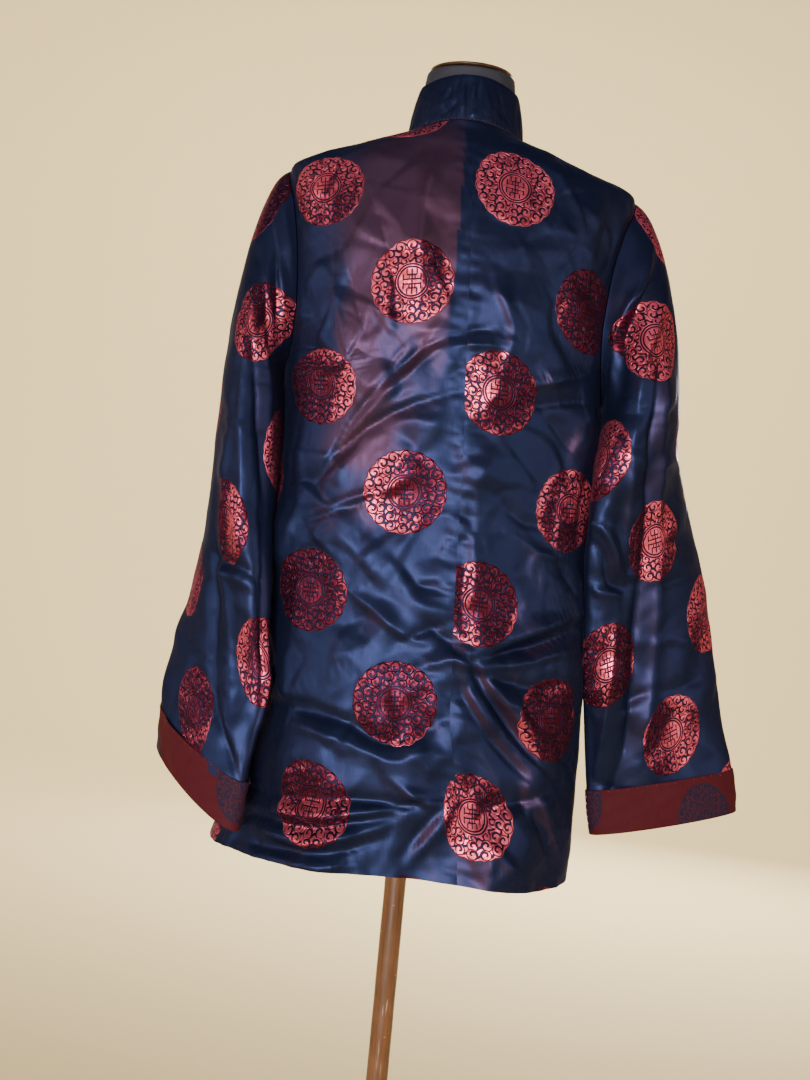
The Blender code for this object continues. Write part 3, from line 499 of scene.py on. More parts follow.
frontCreases = {
    "body": (
        (10, -3, 0.5, ((150, 150), (120, 190), (85, 215), (50, 225))),
        (9, 2.6, 0.4, ((145, 175), (115, 212), (80, 238))),
        (10, -3, 0.5, ((-152, 145), (-125, 180), (-95, 212), (-60, 232))),
        (9, 2.4, 0.4, ((-140, 190), (-105, 232), (-78, 250))),
        (11, 3, 0.4, ((130, 330), (85, 355), (45, 362))),
        (9, -2.8, 0.5, ((140, 360), (100, 392), (55, 400), (20, 396))),
        (10, -3, 0.5, ((-145, 340), (-100, 372), (-60, 385), (-22, 380))),
        (10, 2.8, 0.3, ((-140, 372), (-92, 402), (-50, 412))),
        (12, 3.4, 0.4, ((60, 440), (72, 520), (90, 600), (104, 700))),
        (12, -3.8, 0.3, ((35, 470), (46, 560), (60, 660), (70, 770))),
        (12, -3.6, 0.3, ((-60, 450), (-66, 540), (-80, 630), (-94, 740))),
        (12, 3.4, 0.3, ((-36, 520), (-40, 620), (-50, 710), (-56, 790))),
        (10, -3, 0.5, ((150, 520), (120, 560), (98, 620))),
        (9, 2.8, 0.4, ((-152, 500), (-126, 548), (-108, 610))),
        (8, -2.6, 0.6, ((10, 300), (34, 290), (62, 300))),
        (8, -2.4, 0.6, ((-10, 305), (-36, 322), (-60, 318))),
        (9, -3.4, 0.5, ((20, 700), (60, 712), (110, 704), (150, 716))),
        (10, 3, 0.4, ((-30, 690), (-80, 700), (-130, 692))),
        (8, -2.4, 0.4, ((30, 120), (60, 128), (92, 118))),
    ),
    "sleeveLeft": (
        (8, -4, 0.4, ((190, 150), (198, 220), (203, 300), (206, 390))),
        (7, 3, 0.3, ((206, 170), (212, 240), (218, 320))),
        (8, -4.4, 0.5, ((186, 360), (206, 378), (232, 372), (250, 384))),
        (8, 4, 0.4, ((182, 392), (204, 408), (230, 404), (252, 418))),
        (8, -4, 0.4, ((186, 432), (210, 446), (238, 440), (258, 456))),
        (9, 3.4, 0.3, ((214, 470), (226, 560), (244, 650))),
        (9, -3.6, 0.3, ((238, 500), (254, 590), (270, 680))),
    ),
    "sleeveRight": (
        (9, -4.6, 0.4, ((-190, 150), (-206, 230), (-216, 310))),
        (8, 3.4, 0.3, ((-208, 160), (-228, 240), (-240, 320))),
        (8, -4.4, 0.5, ((-196, 360), (-222, 372), (-252, 366), (-276, 378))),
        (8, 4, 0.4, ((-198, 396), (-226, 410), (-256, 402), (-282, 418))),
        (8, -3.8, 0.4, ((-204, 436), (-230, 448), (-262, 442), (-288, 452))),
        (10, -4, 0.3, ((-236, 470), (-244, 560), (-252, 660))),
        (10, 3.6, 0.3, ((-268, 480), (-280, 580), (-296, 690))),
    ),
}


def smoothPath(points, steps=8):  # a curve through the points
    p = np.array(points, float)
    p = np.concatenate(([2 * p[0] - p[1]], p, [2 * p[-1] - p[-2]]))
    t = np.linspace(0, 1, steps, endpoint=False)[:, None]
    line = []
    for a, b, c, d in zip(p, p[1:], p[2:], p[3:]):
        square, cube = 2 * a - 5 * b + 4 * c - d, 3 * b - a - 3 * c + d
        line.append(0.5 * (2 * b + (c - a) * t + square * t ** 2 + cube * t ** 3))
    return np.concatenate(line + [p[-2:-1]])


creaseForm = {
    "spread": 0.86, "sharpness": 1.12, "ends": 0.35, "fade": 0.35, "past": 1.4, "narrow": 0.55,
    "reach": 3,
}


def creaseShift(creases, flat, sizes):  # how far the creases move each point of a grid out
    total = np.zeros(flat.shape[:-1])
    for width, depth, lean, points in creases:
        width, depth, path = width / 1000, depth / 1000, smoothPath(points) / 1000
        low, high = path.min(0) - creaseForm["reach"] * width, path.max(0) + creaseForm["reach"] * width
        near = ((flat > low) & (flat < high)).all(-1)
        if not near.any():
            continue
        at = flat[near]
        apart = at[:, None, :] - path[None, :, :]
        nearest = (apart ** 2).sum(-1).argmin(1)
        i = np.clip(nearest, 1, len(path) - 2)
        run = unit(path[i + 1] - path[i - 1])
        gap = at - path[nearest]
        side = run[:, 0] * gap[:, 1] - run[:, 1] * gap[:, 0]
        past = (run * gap).sum(1)
        past = np.where((nearest == 0) | (nearest == len(path) - 1), past, 0.0)
        share = nearest / (len(path) - 1)
        inner = smoothStep(share, 0.0, creaseForm["fade"]) * smoothStep(1 - share, 0.0, creaseForm["fade"])
        swell = creaseForm["ends"] + (1 - creaseForm["ends"]) * inner
        wide = creaseForm["spread"] * width * (creaseForm["narrow"] + (1 - creaseForm["narrow"]) * swell)
        profile = np.abs(side / wide) ** creaseForm["sharpness"]
        profile = profile + (past / (creaseForm["past"] * width)) ** 2
        leaning = 1 + lean * np.clip(side / wide, -1, 1)
        total[near] += sizes["strength"] * depth * swell * np.exp(-profile) * leaning
    return total


def wander(points, scale, seed):  # slow uneven movement from summed waves
    rng = np.random.default_rng(seed)
    total = np.zeros(points.shape[:-1])
    for _ in range(9):
        way = rng.normal(size=3)
        way *= rng.uniform(0.6, 1.6) / (np.linalg.norm(way) * scale)
        total += np.sin(2 * np.pi * (points @ way) + rng.uniform(0, 6.28))
    return total / 3


def crumple(points, scale, seed):  # small ridges such as satin keeps after folding
    strength = 0.5 + 0.5 * np.tanh(wander(points, 3 * scale, seed + 1))
    return (1 - np.abs(wander(points, scale, seed))) * strength


def pressLines(points, period, seed):  # straight folds kept from packing and wear, here and there
    rng = np.random.default_rng(seed)
    total = np.zeros(points.shape[:-1])
    for k in range(8):
        way = rng.normal(size=3) * (1.0, 0.25, 1.0)
        way /= np.linalg.norm(way) * period * rng.uniform(0.6, 1.8)
        wave = points @ way + 0.12 * wander(points, 0.11, seed + k) + rng.uniform()
        here = smoothStep(wander(points, 0.13, seed + 30 + k), 0.05, 0.55)
        total += here * np.abs(2 * (wave - np.floor(wave + 0.5)))
    return total


# making meshes


def gridNormals(points, closed):
    ahead = (np.roll(points, -1, 1) - np.roll(points, 1, 1)) if closed else np.gradient(points, axis=1)
    return unit(np.cross(ahead, np.gradient(points, axis=0)))


def addPiece(name, mesh, materials):
    mesh.polygons.foreach_set("use_smooth", np.ones(len(mesh.polygons), bool))
    for material in materials:
        mesh.materials.append(material)
    obj = bpy.data.objects.new(name, mesh)
    bpy.context.scene.collection.objects.link(obj)
    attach(obj, "root")
    return obj


def addCloth(name, points, uv, attributes, materials, outward, closed=False):
    # points is (lines, stations, 3); when closed the stations go round, and uv has one station more
    lines, stations = points.shape[:2]
    wide = stations if closed else stations - 1
    i, j = np.meshgrid(np.arange(lines - 1), np.arange(wide), indexing="ij")
    i, j = i.ravel(), j.ravel()
    around = ((0, 0), (0, 1), (1, 1), (1, 0))
    corners = np.stack([np.stack((i + down, j + along), -1) for down, along in around], 1)
    ids = corners[..., 0] * stations + corners[..., 1] % stations
    a, b, c = (points.reshape(-1, 3)[ids[:, k]] for k in (0, 1, 3))
    facing = (np.cross(b - a, c - a) * outward.reshape(-1, 3)[ids[:, 0]]).sum()
    if facing < 0:
        ids, corners = ids[:, ::-1], corners[:, ::-1]
    mesh = bpy.data.meshes.new(name)
    mesh.from_pydata(points.reshape(-1, 3).tolist(), [], ids.tolist())
    layer = mesh.uv_layers.new(name="cutMetres")
    layer.data.foreach_set("uv", uv[corners[..., 0], corners[..., 1]].astype(np.float32).ravel())
    for key, value in attributes.items():
        layer = mesh.attributes.new(key, "FLOAT", "POINT")
        layer.data.foreach_set("value", value.astype(np.float32).ravel())
    atEdge = np.zeros((lines, stations), bool)
    atEdge[[0, -1]] = True
    if not closed:
        atEdge[:, [0, -1]] = True
    pairs = np.zeros(2 * len(mesh.edges), np.int32)
    mesh.edges.foreach_get("vertices", pairs)
    sharp = atEdge.ravel()[pairs.reshape(-1, 2)].all(-1)  # a crisp edge all round, so that seams lie flat
    mesh.attributes.new("sharp_edge", "BOOLEAN", "EDGE").data.foreach_set("value", sharp)
    obj = addPiece(name, mesh, materials)
    wall = obj.modifiers.new("wall", "SOLIDIFY")
    wall.thickness = jacket["wall"]
    wall.offset = -1.0
    wall.use_rim = True
    wall.material_offset = 1 if len(materials) > 1 else 0
    wall.material_offset_rim = 0
    return obj


def nodeName(name):  # backLeft stands for back_left
    return name.replace("L", "_l").replace("R", "_r")


# materials


class Wire:  # a socket that can be added to, multiplied and so on with Math nodes
    def __init__(self, tree, socket):
        self.tree, self.socket = tree, socket

    def math(self, operation, *others):
        node = self.tree.nodes.new("ShaderNodeMath")
        node.operation = operation
        for slot, value in zip(node.inputs, (self, *others)):
            if isinstance(value, Wire):
                self.tree.links.new(value.socket, slot)
            else:
                slot.default_value = value
        return Wire(self.tree, node.outputs[0])

    def __add__(self, other):
        return self.math("ADD", other)

    def __sub__(self, other):
        return self.math("SUBTRACT", other)

    def __mul__(self, other):
        return self.math("MULTIPLY", other)

    def __truediv__(self, other):
        return self.math("DIVIDE", other)

    def reversed(self, number=1.0):  # number minus this
        return self.math("MULTIPLY_ADD", -1.0, number)

    def step(self, edge, soft):  # 0 below the edge, 1 above it, softly
        node = self.tree.nodes.new("ShaderNodeMapRange")
        node.interpolation_type = "SMOOTHSTEP"
        self.tree.links.new(self.socket, node.inputs["Value"])
        for name, value in (("From Min", -soft / 2), ("From Max", soft / 2)):
            if isinstance(edge, Wire):
                (edge + value).into(node.inputs[name])
            else:
                node.inputs[name].default_value = edge + value
        return Wire(self.tree, node.outputs[0])

    def into(self, slot):
        self.tree.links.new(self.socket, slot)


def newMaterial(name, color, roughness, **sockets):
    material = bpy.data.materials.new(name)
    material.use_nodes = True
    shader = material.node_tree.nodes["Principled BSDF"]
    shader.inputs["Base Color"].default_value = (*color, 1)
    shader.inputs["Roughness"].default_value = roughness
    for key, value in sockets.items():
        shader.inputs[key.replace("_", " ")].default_value = value
    return material, material.node_tree, shader


def mixColor(tree, share, first, second):
    node = tree.nodes.new("ShaderNodeMix")
    node.data_type = "RGBA"
    share.into(node.inputs["Factor"])
    for slot, value in ((node.inputs["A"], first), (node.inputs["B"], second)):
        if isinstance(value, tuple):
            slot.default_value = (*value, 1)
        else:
            tree.links.new(value, slot)
    return node.outputs["Result"]


def noiseWire(tree, vector, scale, detail=2.0, roughness=0.5, stretch=None):
    if stretch:
        mapping = tree.nodes.new("ShaderNodeMapping")
        mapping.inputs["Scale"].default_value = stretch
        tree.links.new(vector, mapping.inputs["Vector"])
        vector = mapping.outputs[0]
    node = tree.nodes.new("ShaderNodeTexNoise")
    node.inputs["Scale"].default_value = scale
    node.inputs["Detail"].default_value = detail
    node.inputs["Roughness"].default_value = roughness
    tree.links.new(vector, node.inputs["Vector"])
    return Wire(tree, node.outputs["Fac"])


def coordinates(tree, uvMap=None):
    if uvMap:
        node = tree.nodes.new("ShaderNodeUVMap")
        node.uv_map = uvMap
        return node.outputs[0]
    return tree.nodes.new("ShaderNodeTexCoord").outputs["Object"]


def attributeWire(tree, name):
    node = tree.nodes.new("ShaderNodeAttribute")
    node.attribute_name = name
    return Wire(tree, node.outputs["Fac"])


def bumpInto(tree, shader, height, strength, distance):
    node = tree.nodes.new("ShaderNodeBump")
    node.inputs["Strength"].default_value = strength
    node.inputs["Distance"].default_value = distance
    height.into(node.inputs["Height"])
    tree.links.new(node.outputs[0], shader.inputs["Normal"])


# a roundel: curls in three rows round a plain fret in a double ring, as shares of its radius
roundel = {
    "radius": 0.0440, "pitch": 0.2190,  # metres
    "edge": 0.965, "scallop": 0.030, "ringOut": 0.400, "ringIn": 0.340, "line": 0.034, "sway": 0.05,
    # each row's curls, where it lies, its reach and its turn
    "rows": ((18, 0.855, 0.128, 0.145), (13, 0.660, 0.128, 0.148), (9, 0.500, 0.105, 0.125)),
    "fret": (  # each bar's place and half size in one quarter
        (0.0, 0.0, 0.016, 0.29), (0.0, 0.055, 0.20, 0.014), (0.0, 0.155, 0.12, 0.014),
        (0.12, 0.235, 0.014, 0.07), (0.21, 0.10, 0.014, 0.075), (0.07, 0.10, 0.012, 0.045),
    ),
}


def curlRow(radius, angle, count, at, reach, turns):  # little spirals side by side round a ring
    share = angle * (count / math.tau)
    index = share.math("ROUND")
    local = (share - index) * (math.tau / count)
    across = radius * local.math("SINE")
    out = radius * local.math("COSINE") - at
    flip = index.math("MODULO", 2.0).math("ABSOLUTE") * 2.0 - 1.0
    far = (across * across + out * out).math("SQRT")
    around = out.math("ARCTAN2", across * flip)
    spiral = (far * (math.tau / turns) - around).math("SINE")
    edge = (far - reach).math("ABSOLUTE").step(0.016, 0.022)
    curl = spiral.step(-0.50, 0.62) * edge  # 1 on the red threads
    return curl, far.step(reach, 0.012).reversed()


def bar(ax, ay, x, y, halfX, halfY):
    inX = (ax - x).math("ABSOLUTE").step(halfX, 0.012).reversed()
    return inX * (ay - y).math("ABSOLUTE").step(halfY, 0.012).reversed()


def roundelPattern(tree, place, size, firstColumn=None):  # returns (in the roundel, on its raised threads)
    split = tree.nodes.new("ShaderNodeSeparateXYZ")
    tree.links.new(coordinates(tree, uvMap="cutMetres"), split.inputs[0])
    across, down = Wire(tree, split.outputs[0]), Wire(tree, split.outputs[1])
    u, v = (across * a + down * b + c for a, b, c in place[:2])
    spacing, near = place[2], None
    if len(place) > 3:  # beside the seam the next panel's roundel carries on
        *rows, reach, start = place[3]
        near = across.step(reach, 0.0002).reversed() * down.step(start, 0.0002)
        u, v = (mixWire(near, own, across * a + down * b + c) for own, (a, b, c) in zip((u, v), rows))
    column = (u / spacing).math("ROUND")
    x = (u - column * spacing) / size["radius"]
    half = column.math("MODULO", 2.0).math("ABSOLUTE") * 0.5
    row = (v / size["pitch"] - half).math("ROUND") + half
    y = (v - row * size["pitch"]) / size["radius"]
    radius = (x * x + y * y).math("SQRT")
    angle = x.math("ARCTAN2", y)
    lobes = (angle * (size["rows"][0][0] / 2)).math("COSINE").math("ABSOLUTE")
    within = (radius - lobes * size["scallop"]).step(size["edge"], 0.02).reversed()
    waves = (angle * 5.0).math("SINE") + (angle * 8.0).math("COSINE")
    swayed = radius + waves * (size["sway"] / 2) * (radius.reversed() * radius)
    leaves = ((angle * 17.0).math("SINE") * 1.2 + swayed * 34.0).math("SINE")
    band = leaves.step(-0.55, 0.6)
    for row in size["rows"][::-1]:
        curl, inside = curlRow(swayed, angle, *row)
        band = mixWire(inside, band, curl)
    if firstColumn is not None:  # the cut has none before this column
        within = within * column.step(firstColumn - 0.5, 0.1).math("MAXIMUM", near)
    ax, ay = x.math("ABSOLUTE"), y.math("ABSOLUTE")
    fret = bar(ax, ay, *size["fret"][0])
    for barPlace in size["fret"][1:]:
        fret = fret.math("MAXIMUM", bar(ax, ay, *barPlace))
    centre = radius.step(size["ringIn"] - size["line"], 0.012).reversed()
    rings = (radius - (size["ringOut"] + size["ringIn"]) / 2).math("ABSOLUTE")
    rings = (rings - (size["ringOut"] - size["ringIn"]) / 2).math("ABSOLUTE").step(size["line"] / 2, 0.012)
    middle = mixWire(centre, rings, fret.reversed())
    threads = mixWire(radius.step(size["ringOut"] + size["line"], 0.012), middle, band) * within
    return within, threads


def mixWire(share, first, second):  # first where share is 0, second where it is 1
    return first + (second - first) * share


# painted light: the plum colour is the shot satin's red weft painted in as a sheen where it catches the
# light; the thread colour and its darker shade are lit and shaded copies of one thread colour (painted
# highlight and painted shade); the dull bluish one is a painted dull reflection in shaded threads
brocadeLook = {
    "ground": (0.0145, 0.0200, 0.0590), "sheenPlum": (0.072, 0.034, 0.068), "outline": (0.014, 0.010, 0.030),
    "thread": (0.72, 0.115, 0.175), "threadPaintedShade": (0.092, 0.009, 0.020),
    "threadPaintedGlimmer": (0.040, 0.036, 0.070), "sheenTint": (0.35, 0.40, 0.70),
    "specularTint": (0.22, 0.28, 0.55), "groundRough": 0.43, "threadRough": 0.38, "anisotropy": 0.45,
    "groundMetal": 0.72, "threadMetal": 0.80, "ripple": 0.35, "bump": 0.55, "plainBump": 0.35,
    "bumpDepth": 0.0008,
}


def makeBrocade(name, place):
    look = brocadeLook
    material, tree, shader = newMaterial(name, look["ground"], look["groundRough"], Sheen_Weight=0.03,
                                         Anisotropic=look["anisotropy"], Sheen_Roughness=0.4,
                                         Specular_IOR_Level=0.4)
    shader.inputs["Sheen Tint"].default_value = (*look["sheenTint"], 1)
    shader.inputs["Specular Tint"].default_value = (*look["specularTint"], 1)
    uv = coordinates(tree, uvMap="cutMetres")
    spot = coordinates(tree)
    slub = noiseWire(tree, uv, 60.0, 3.0, 0.6, (14.0, 0.8, 1.0))
    mottle = noiseWire(tree, spot, 18.0, 3.0, 0.55)
    # painted sheen: the red of the shot satin's weft is painted over the navy ground where the sheen
    # attribute says, broken up by mottle and slubs
    paintedSheen = attributeWire(tree, "paintedSheen")
    uneven = paintedSheen + (mottle - 0.5) * 0.30 * paintedSheen + (slub - 0.5) * 0.2 * paintedSheen
    paintedSheenShare = uneven.step(0.34, 0.42) * 0.75 + paintedSheen * 0.25
    ground = mixColor(tree, paintedSheenShare.math("MAXIMUM", 0.0), look["ground"], look["sheenPlum"])
    grain = noiseWire(tree, uv, 420.0, 2.0, 0.6, (6.0, 0.7, 1.0))
    weave = slub * 0.25 + grain * 0.12 + noiseWire(tree, spot, 34.0, 3.0, 0.5) * look["ripple"]
    if place is None:  # plain satin, with no pattern woven in
        tree.links.new(ground, shader.inputs["Base Color"])
        shader.inputs["Metallic"].default_value = look["groundMetal"]
        (slub * 0.1 + (look["groundRough"] - 0.05)).into(shader.inputs["Roughness"])
        bumpInto(tree, shader, weave, look["plainBump"], look["bumpDepth"])
        return material
    within, threads = roundelPattern(tree, place, roundel, 1 if name == "brocadeBackLeft" else None)
    # painted light: the glint attribute paints each part of the pattern's threads lit or shaded, and shaded
    # threads get a painted dull bluish glimmer
    paintedGlint = attributeWire(tree, "paintedGlint")
    facets = noiseWire(tree, uv, 230.0, 1.0, 0.5)  # each curl gets its own bump and its own share of painted highlight and shade
    paintedGlimmer = facets.step(0.60, 0.12) * paintedGlint.step(0.30, 0.30).reversed() * 0.5
    paintedShine = (paintedGlint + (slub - 0.5) * 0.4 + (facets - 0.5) * 0.9).step(0.46, 0.80)
    paintedShadedThread = mixColor(tree, paintedGlimmer, look["threadPaintedShade"], look["threadPaintedGlimmer"])
    threadWithPaintedLight = mixColor(tree, paintedShine, paintedShadedThread, look["thread"])
    color = mixColor(tree, threads, mixColor(tree, within, ground, look["outline"]), threadWithPaintedLight)
    tree.links.new(color, shader.inputs["Base Color"])
    metal = threads * (look["threadMetal"] - look["groundMetal"]) + look["groundMetal"]
    metal.into(shader.inputs["Metallic"])
    rough = threads * (look["threadRough"] - look["groundRough"]) + look["groundRough"]
    (rough + (slub - 0.5) * 0.10).into(shader.inputs["Roughness"])
    bumpInto(tree, shader, threads * 1.2 + facets * threads * 0.8 + weave, look["bump"], look["bumpDepth"])
    return material


reverseLook = {
    "base": (0.075, 0.009, 0.014), "cloth": (0.044, 0.0040, 0.0090), "slubs": (0.080, 0.0090, 0.0155),
    "within": (0.050, 0.010, 0.020), "threads": (0.014, 0.010, 0.030), "sheenTint": (0.9, 0.35, 0.35),
    "rough": 0.70,
}


def makeReverse(name, place):
    look = reverseLook
    material, tree, shader = newMaterial(name, look["base"], look["rough"], Sheen_Weight=0.02,
                                         Sheen_Roughness=0.5, Specular_IOR_Level=0.12)
    shader.inputs["Sheen Tint"].default_value = (*look["sheenTint"], 1)
    uv = coordinates(tree, uvMap="cutMetres")
    within, threads = roundelPattern(tree, place, roundel)
    slub = noiseWire(tree, uv, 70.0, 3.0, 0.6, (12.0, 0.9, 1.0))
    floats = noiseWire(tree, uv, 300.0, 2.0, 0.5, (5.0, 1.2, 1.0))
    cloth = mixColor(tree, slub, look["cloth"], look["slubs"])
    color = mixColor(tree, threads, mixColor(tree, within, cloth, look["within"]), look["threads"])
    tree.links.new(color, shader.inputs["Base Color"])
    (slub * 0.12 + 0.64).into(shader.inputs["Roughness"])
    bumpInto(tree, shader, slub * 0.4 + floats * 0.4 + threads * 0.3, 0.4, 0.0008)
    return material


# sewing stitches, set along a path by Geometry Nodes
stitching = {
    "collar": {"Pitch": 0.0042, "Length": 0.0022, "Thickness": 0.00024, "Unevenness": 0.35, "Seed": 3},
    "cuff": {"Pitch": 0.0105, "Length": 0.0020, "Thickness": 0.00022, "Unevenness": 0.40, "Seed": 5},
    "tacks": {"Pitch": 0.0060, "Length": 0.0034, "Thickness": 0.00032, "Unevenness": 0.50, "Seed": 9},
    "frogs": {"Pitch": 0.0030, "Length": 0.0030, "Thickness": 0.00026, "Unevenness": 0.20, "Seed": 11},
}


def makeStitchTree():  # a bead of thread at even steps, lying the way the path's points say
    tree = bpy.data.node_groups.new("stitchesAlongPath", "GeometryNodeTree")
    sockets = {}
    kinds = {"Path": "Geometry", "Pitch": "Float", "Length": "Float", "Thickness": "Float",
             "Unevenness": "Float", "Seed": "Int", "Thread": "Material"}
    for name, kind in kinds.items():
        socket = tree.interface.new_socket(name, in_out="INPUT", socket_type="NodeSocket" + kind)
        sockets[name] = socket.identifier
    tree.interface.new_socket("Stitches", in_out="OUTPUT", socket_type="NodeSocketGeometry")
    start, end = tree.nodes.new("NodeGroupInput").outputs, tree.nodes.new("NodeGroupOutput").inputs

    def add(kind, links=(), **settings):
        node = tree.nodes.new(kind)
        for key, value in settings.items():
            setattr(node, key, value)
        for key, value in links:
            if isinstance(value, bpy.types.NodeSocket):
                tree.links.new(value, node.inputs[key])
            else:
                node.inputs[key].default_value = value
        return node.outputs

    curve = add("GeometryNodeMeshToCurve", (("Mesh", start["Path"]),))
    steps = add("GeometryNodeResampleCurve", (("Curve", curve["Curve"]), ("Length", start["Pitch"])),
                mode="LENGTH")
    bead = add("GeometryNodeMeshUVSphere", (("Segments", 8), ("Rings", 6), ("Radius", 1.0)))
    way = add("GeometryNodeInputNamedAttribute", (("Name", "stitchWay"),), data_type="FLOAT_VECTOR")
    turn = add("FunctionNodeAlignRotationToVector", (("Vector", way["Attribute"]),), axis="Z")
    least = add("ShaderNodeMath", ((0, 1.0), (1, start["Unevenness"])), operation="SUBTRACT")
    swell = add("FunctionNodeRandomValue", ((2, least[0]), (3, 1.0), ("Seed", start["Seed"])),
                data_type="FLOAT")
    half = add("ShaderNodeMath", ((0, start["Length"]), (1, 0.5)), operation="MULTIPLY")
    long = add("ShaderNodeMath", ((0, half[0]), (1, swell[1])), operation="MULTIPLY")
    size = add("ShaderNodeCombineXYZ", (("X", start["Thickness"]), ("Y", start["Thickness"]),
                                        ("Z", long[0])))
    put = add("GeometryNodeInstanceOnPoints", (("Points", steps["Curve"]), ("Instance", bead["Mesh"]),
                                               ("Rotation", turn["Rotation"]), ("Scale", size["Vector"])))
    real = add("GeometryNodeRealizeInstances", (("Geometry", put["Instances"]),))
    painted = add("GeometryNodeSetMaterial", (("Geometry", real["Geometry"]),
                                              ("Material", start["Thread"])))
    tree.links.new(painted["Geometry"], end["Stitches"])
    return tree, sockets


stitchTree, stitchSockets = makeStitchTree()


def addStitches(name, paths, sizes, thread):  # paths are pairs of (points, the way each stitch lies)
    mesh = bpy.data.meshes.new(name + "Path")
    points, ways, edges = [], [], []
    for path, way in paths:
        edges += [(len(points) + k, len(points) + k + 1) for k in range(len(path) - 1)]
        points += np.asarray(path).tolist()
        ways += np.asarray(way).tolist()
    mesh.from_pydata(points, edges, [])
    layer = mesh.attributes.new("stitchWay", "FLOAT_VECTOR", "POINT")
    layer.data.foreach_set("vector", np.array(ways, np.float32).ravel())
    base = bpy.data.objects.new(name + "Path", mesh)
    bpy.context.scene.collection.objects.link(base)
    nodes = base.modifiers.new("stitches", "NODES")
    nodes.node_group = stitchTree
    for key, value in sizes.items():
        nodes[stitchSockets[key]] = value
    nodes[stitchSockets["Thread"]] = thread
    bpy.context.view_layer.update()
    done = bpy.data.meshes.new_from_object(base.evaluated_get(bpy.context.evaluated_depsgraph_get()))
    done.name = name
    base.modifiers.remove(nodes)
    bpy.data.objects.remove(base)
    piece = addPiece(name, done, ())
    return piece


def makeThread(name, color, deeper):
    material, tree, shader = newMaterial(name, color, 0.6, Sheen_Weight=0.1)
    fibre = noiseWire(tree, coordinates(tree), 900.0, 2.0, 0.6)
    tree.links.new(mixColor(tree, fibre.step(0.5, 0.5), deeper, color), shader.inputs["Base Color"])
    bumpInto(tree, shader, fibre, 0.4, 0.0003)
    return material


navyThread = makeThread("navyThread", (0.050, 0.056, 0.110), (0.020, 0.024, 0.055))
paleThread = makeThread("paleThread", (0.62, 0.58, 0.52), (0.40, 0.36, 0.32))
redThread = makeThread("redThread", (0.20, 0.050, 0.055), (0.090, 0.016, 0.020))
print("stitch tree made")

# the cloth's materials, each with its roundels set where that cut has them
patternPlaces = {  # its across and down, each from (metres across, down, 1), then its columns' spacing
    "backLeft": ((0.994, 0.004, 0.0390), (-0.098, 0.998, 0.1282), 0.098,
                 ((1.75, -0.046, -0.0572), (0.130, 0.986, 0.2401), 0.030, 0.50)),
    "backRight": ((1.027, -0.046, -0.0572), (0.130, 0.986, 0.2401), 0.098),
    "frontLeft": ((1.0, 0.0, 0.0400), (-0.060, 1.0, 0.1282), 0.098),
    "frontRight": ((1.0, 0.0, -0.0500), (0.060, 1.0, 0.0180), 0.098),
    "sleeveLeft": ((1.404, 0.110, -0.0244), (-0.408, 0.994, 0.2103), 0.098),
    "sleeveRight": ((1.220, -0.030, 0.0143), (0.368, 0.994, 0.2231), 0.084),
}
brocade = {}
for name, place in patternPlaces.items():
    brocade[name] = makeBrocade("brocade" + name[0].upper() + name[1:], place)
reverse = makeReverse("reverseOfBrocade", ((1.0, 0.0, 0.03), (0.0, 1.0, 0.05), 0.098))
cuffPlaces = {
    "Left": ((1.007, 0.075, 0.0018), (-0.364, 1.009, 0.2087), 0.098),
    "Right": ((1.283, -0.069, 0.0893), (0.311, 0.988, 0.2232), 0.098),
}
cuffReverse = {side: makeReverse("reverse" + side + "Cuff", place) for side, place in cuffPlaces.items()}
print("cloth materials made")

# the panels
panels = {
    "strength": 1.8, "wander": 0.0012, "wanderScale": 0.105, "crumple": 0.0003, "crumpleScale": 0.018,
    "press": 0.0024, "pressPeriod": 0.060, "seamRoll": 0.00012, "seamReach": 0.0015,
    "seamPucker": 0.0005, "puckerReach": 0.016, "puckerScale": 0.013, "topHeld": 0.020,
    "armholeHeld": 0.012, "share": 0.93, "seed": 3, "armholeBelow": 0.02, "seamHeld": 0.003,
    "puckerSeed": 47, "puckerStretch": (0.35, 0.35, 1.0),
}
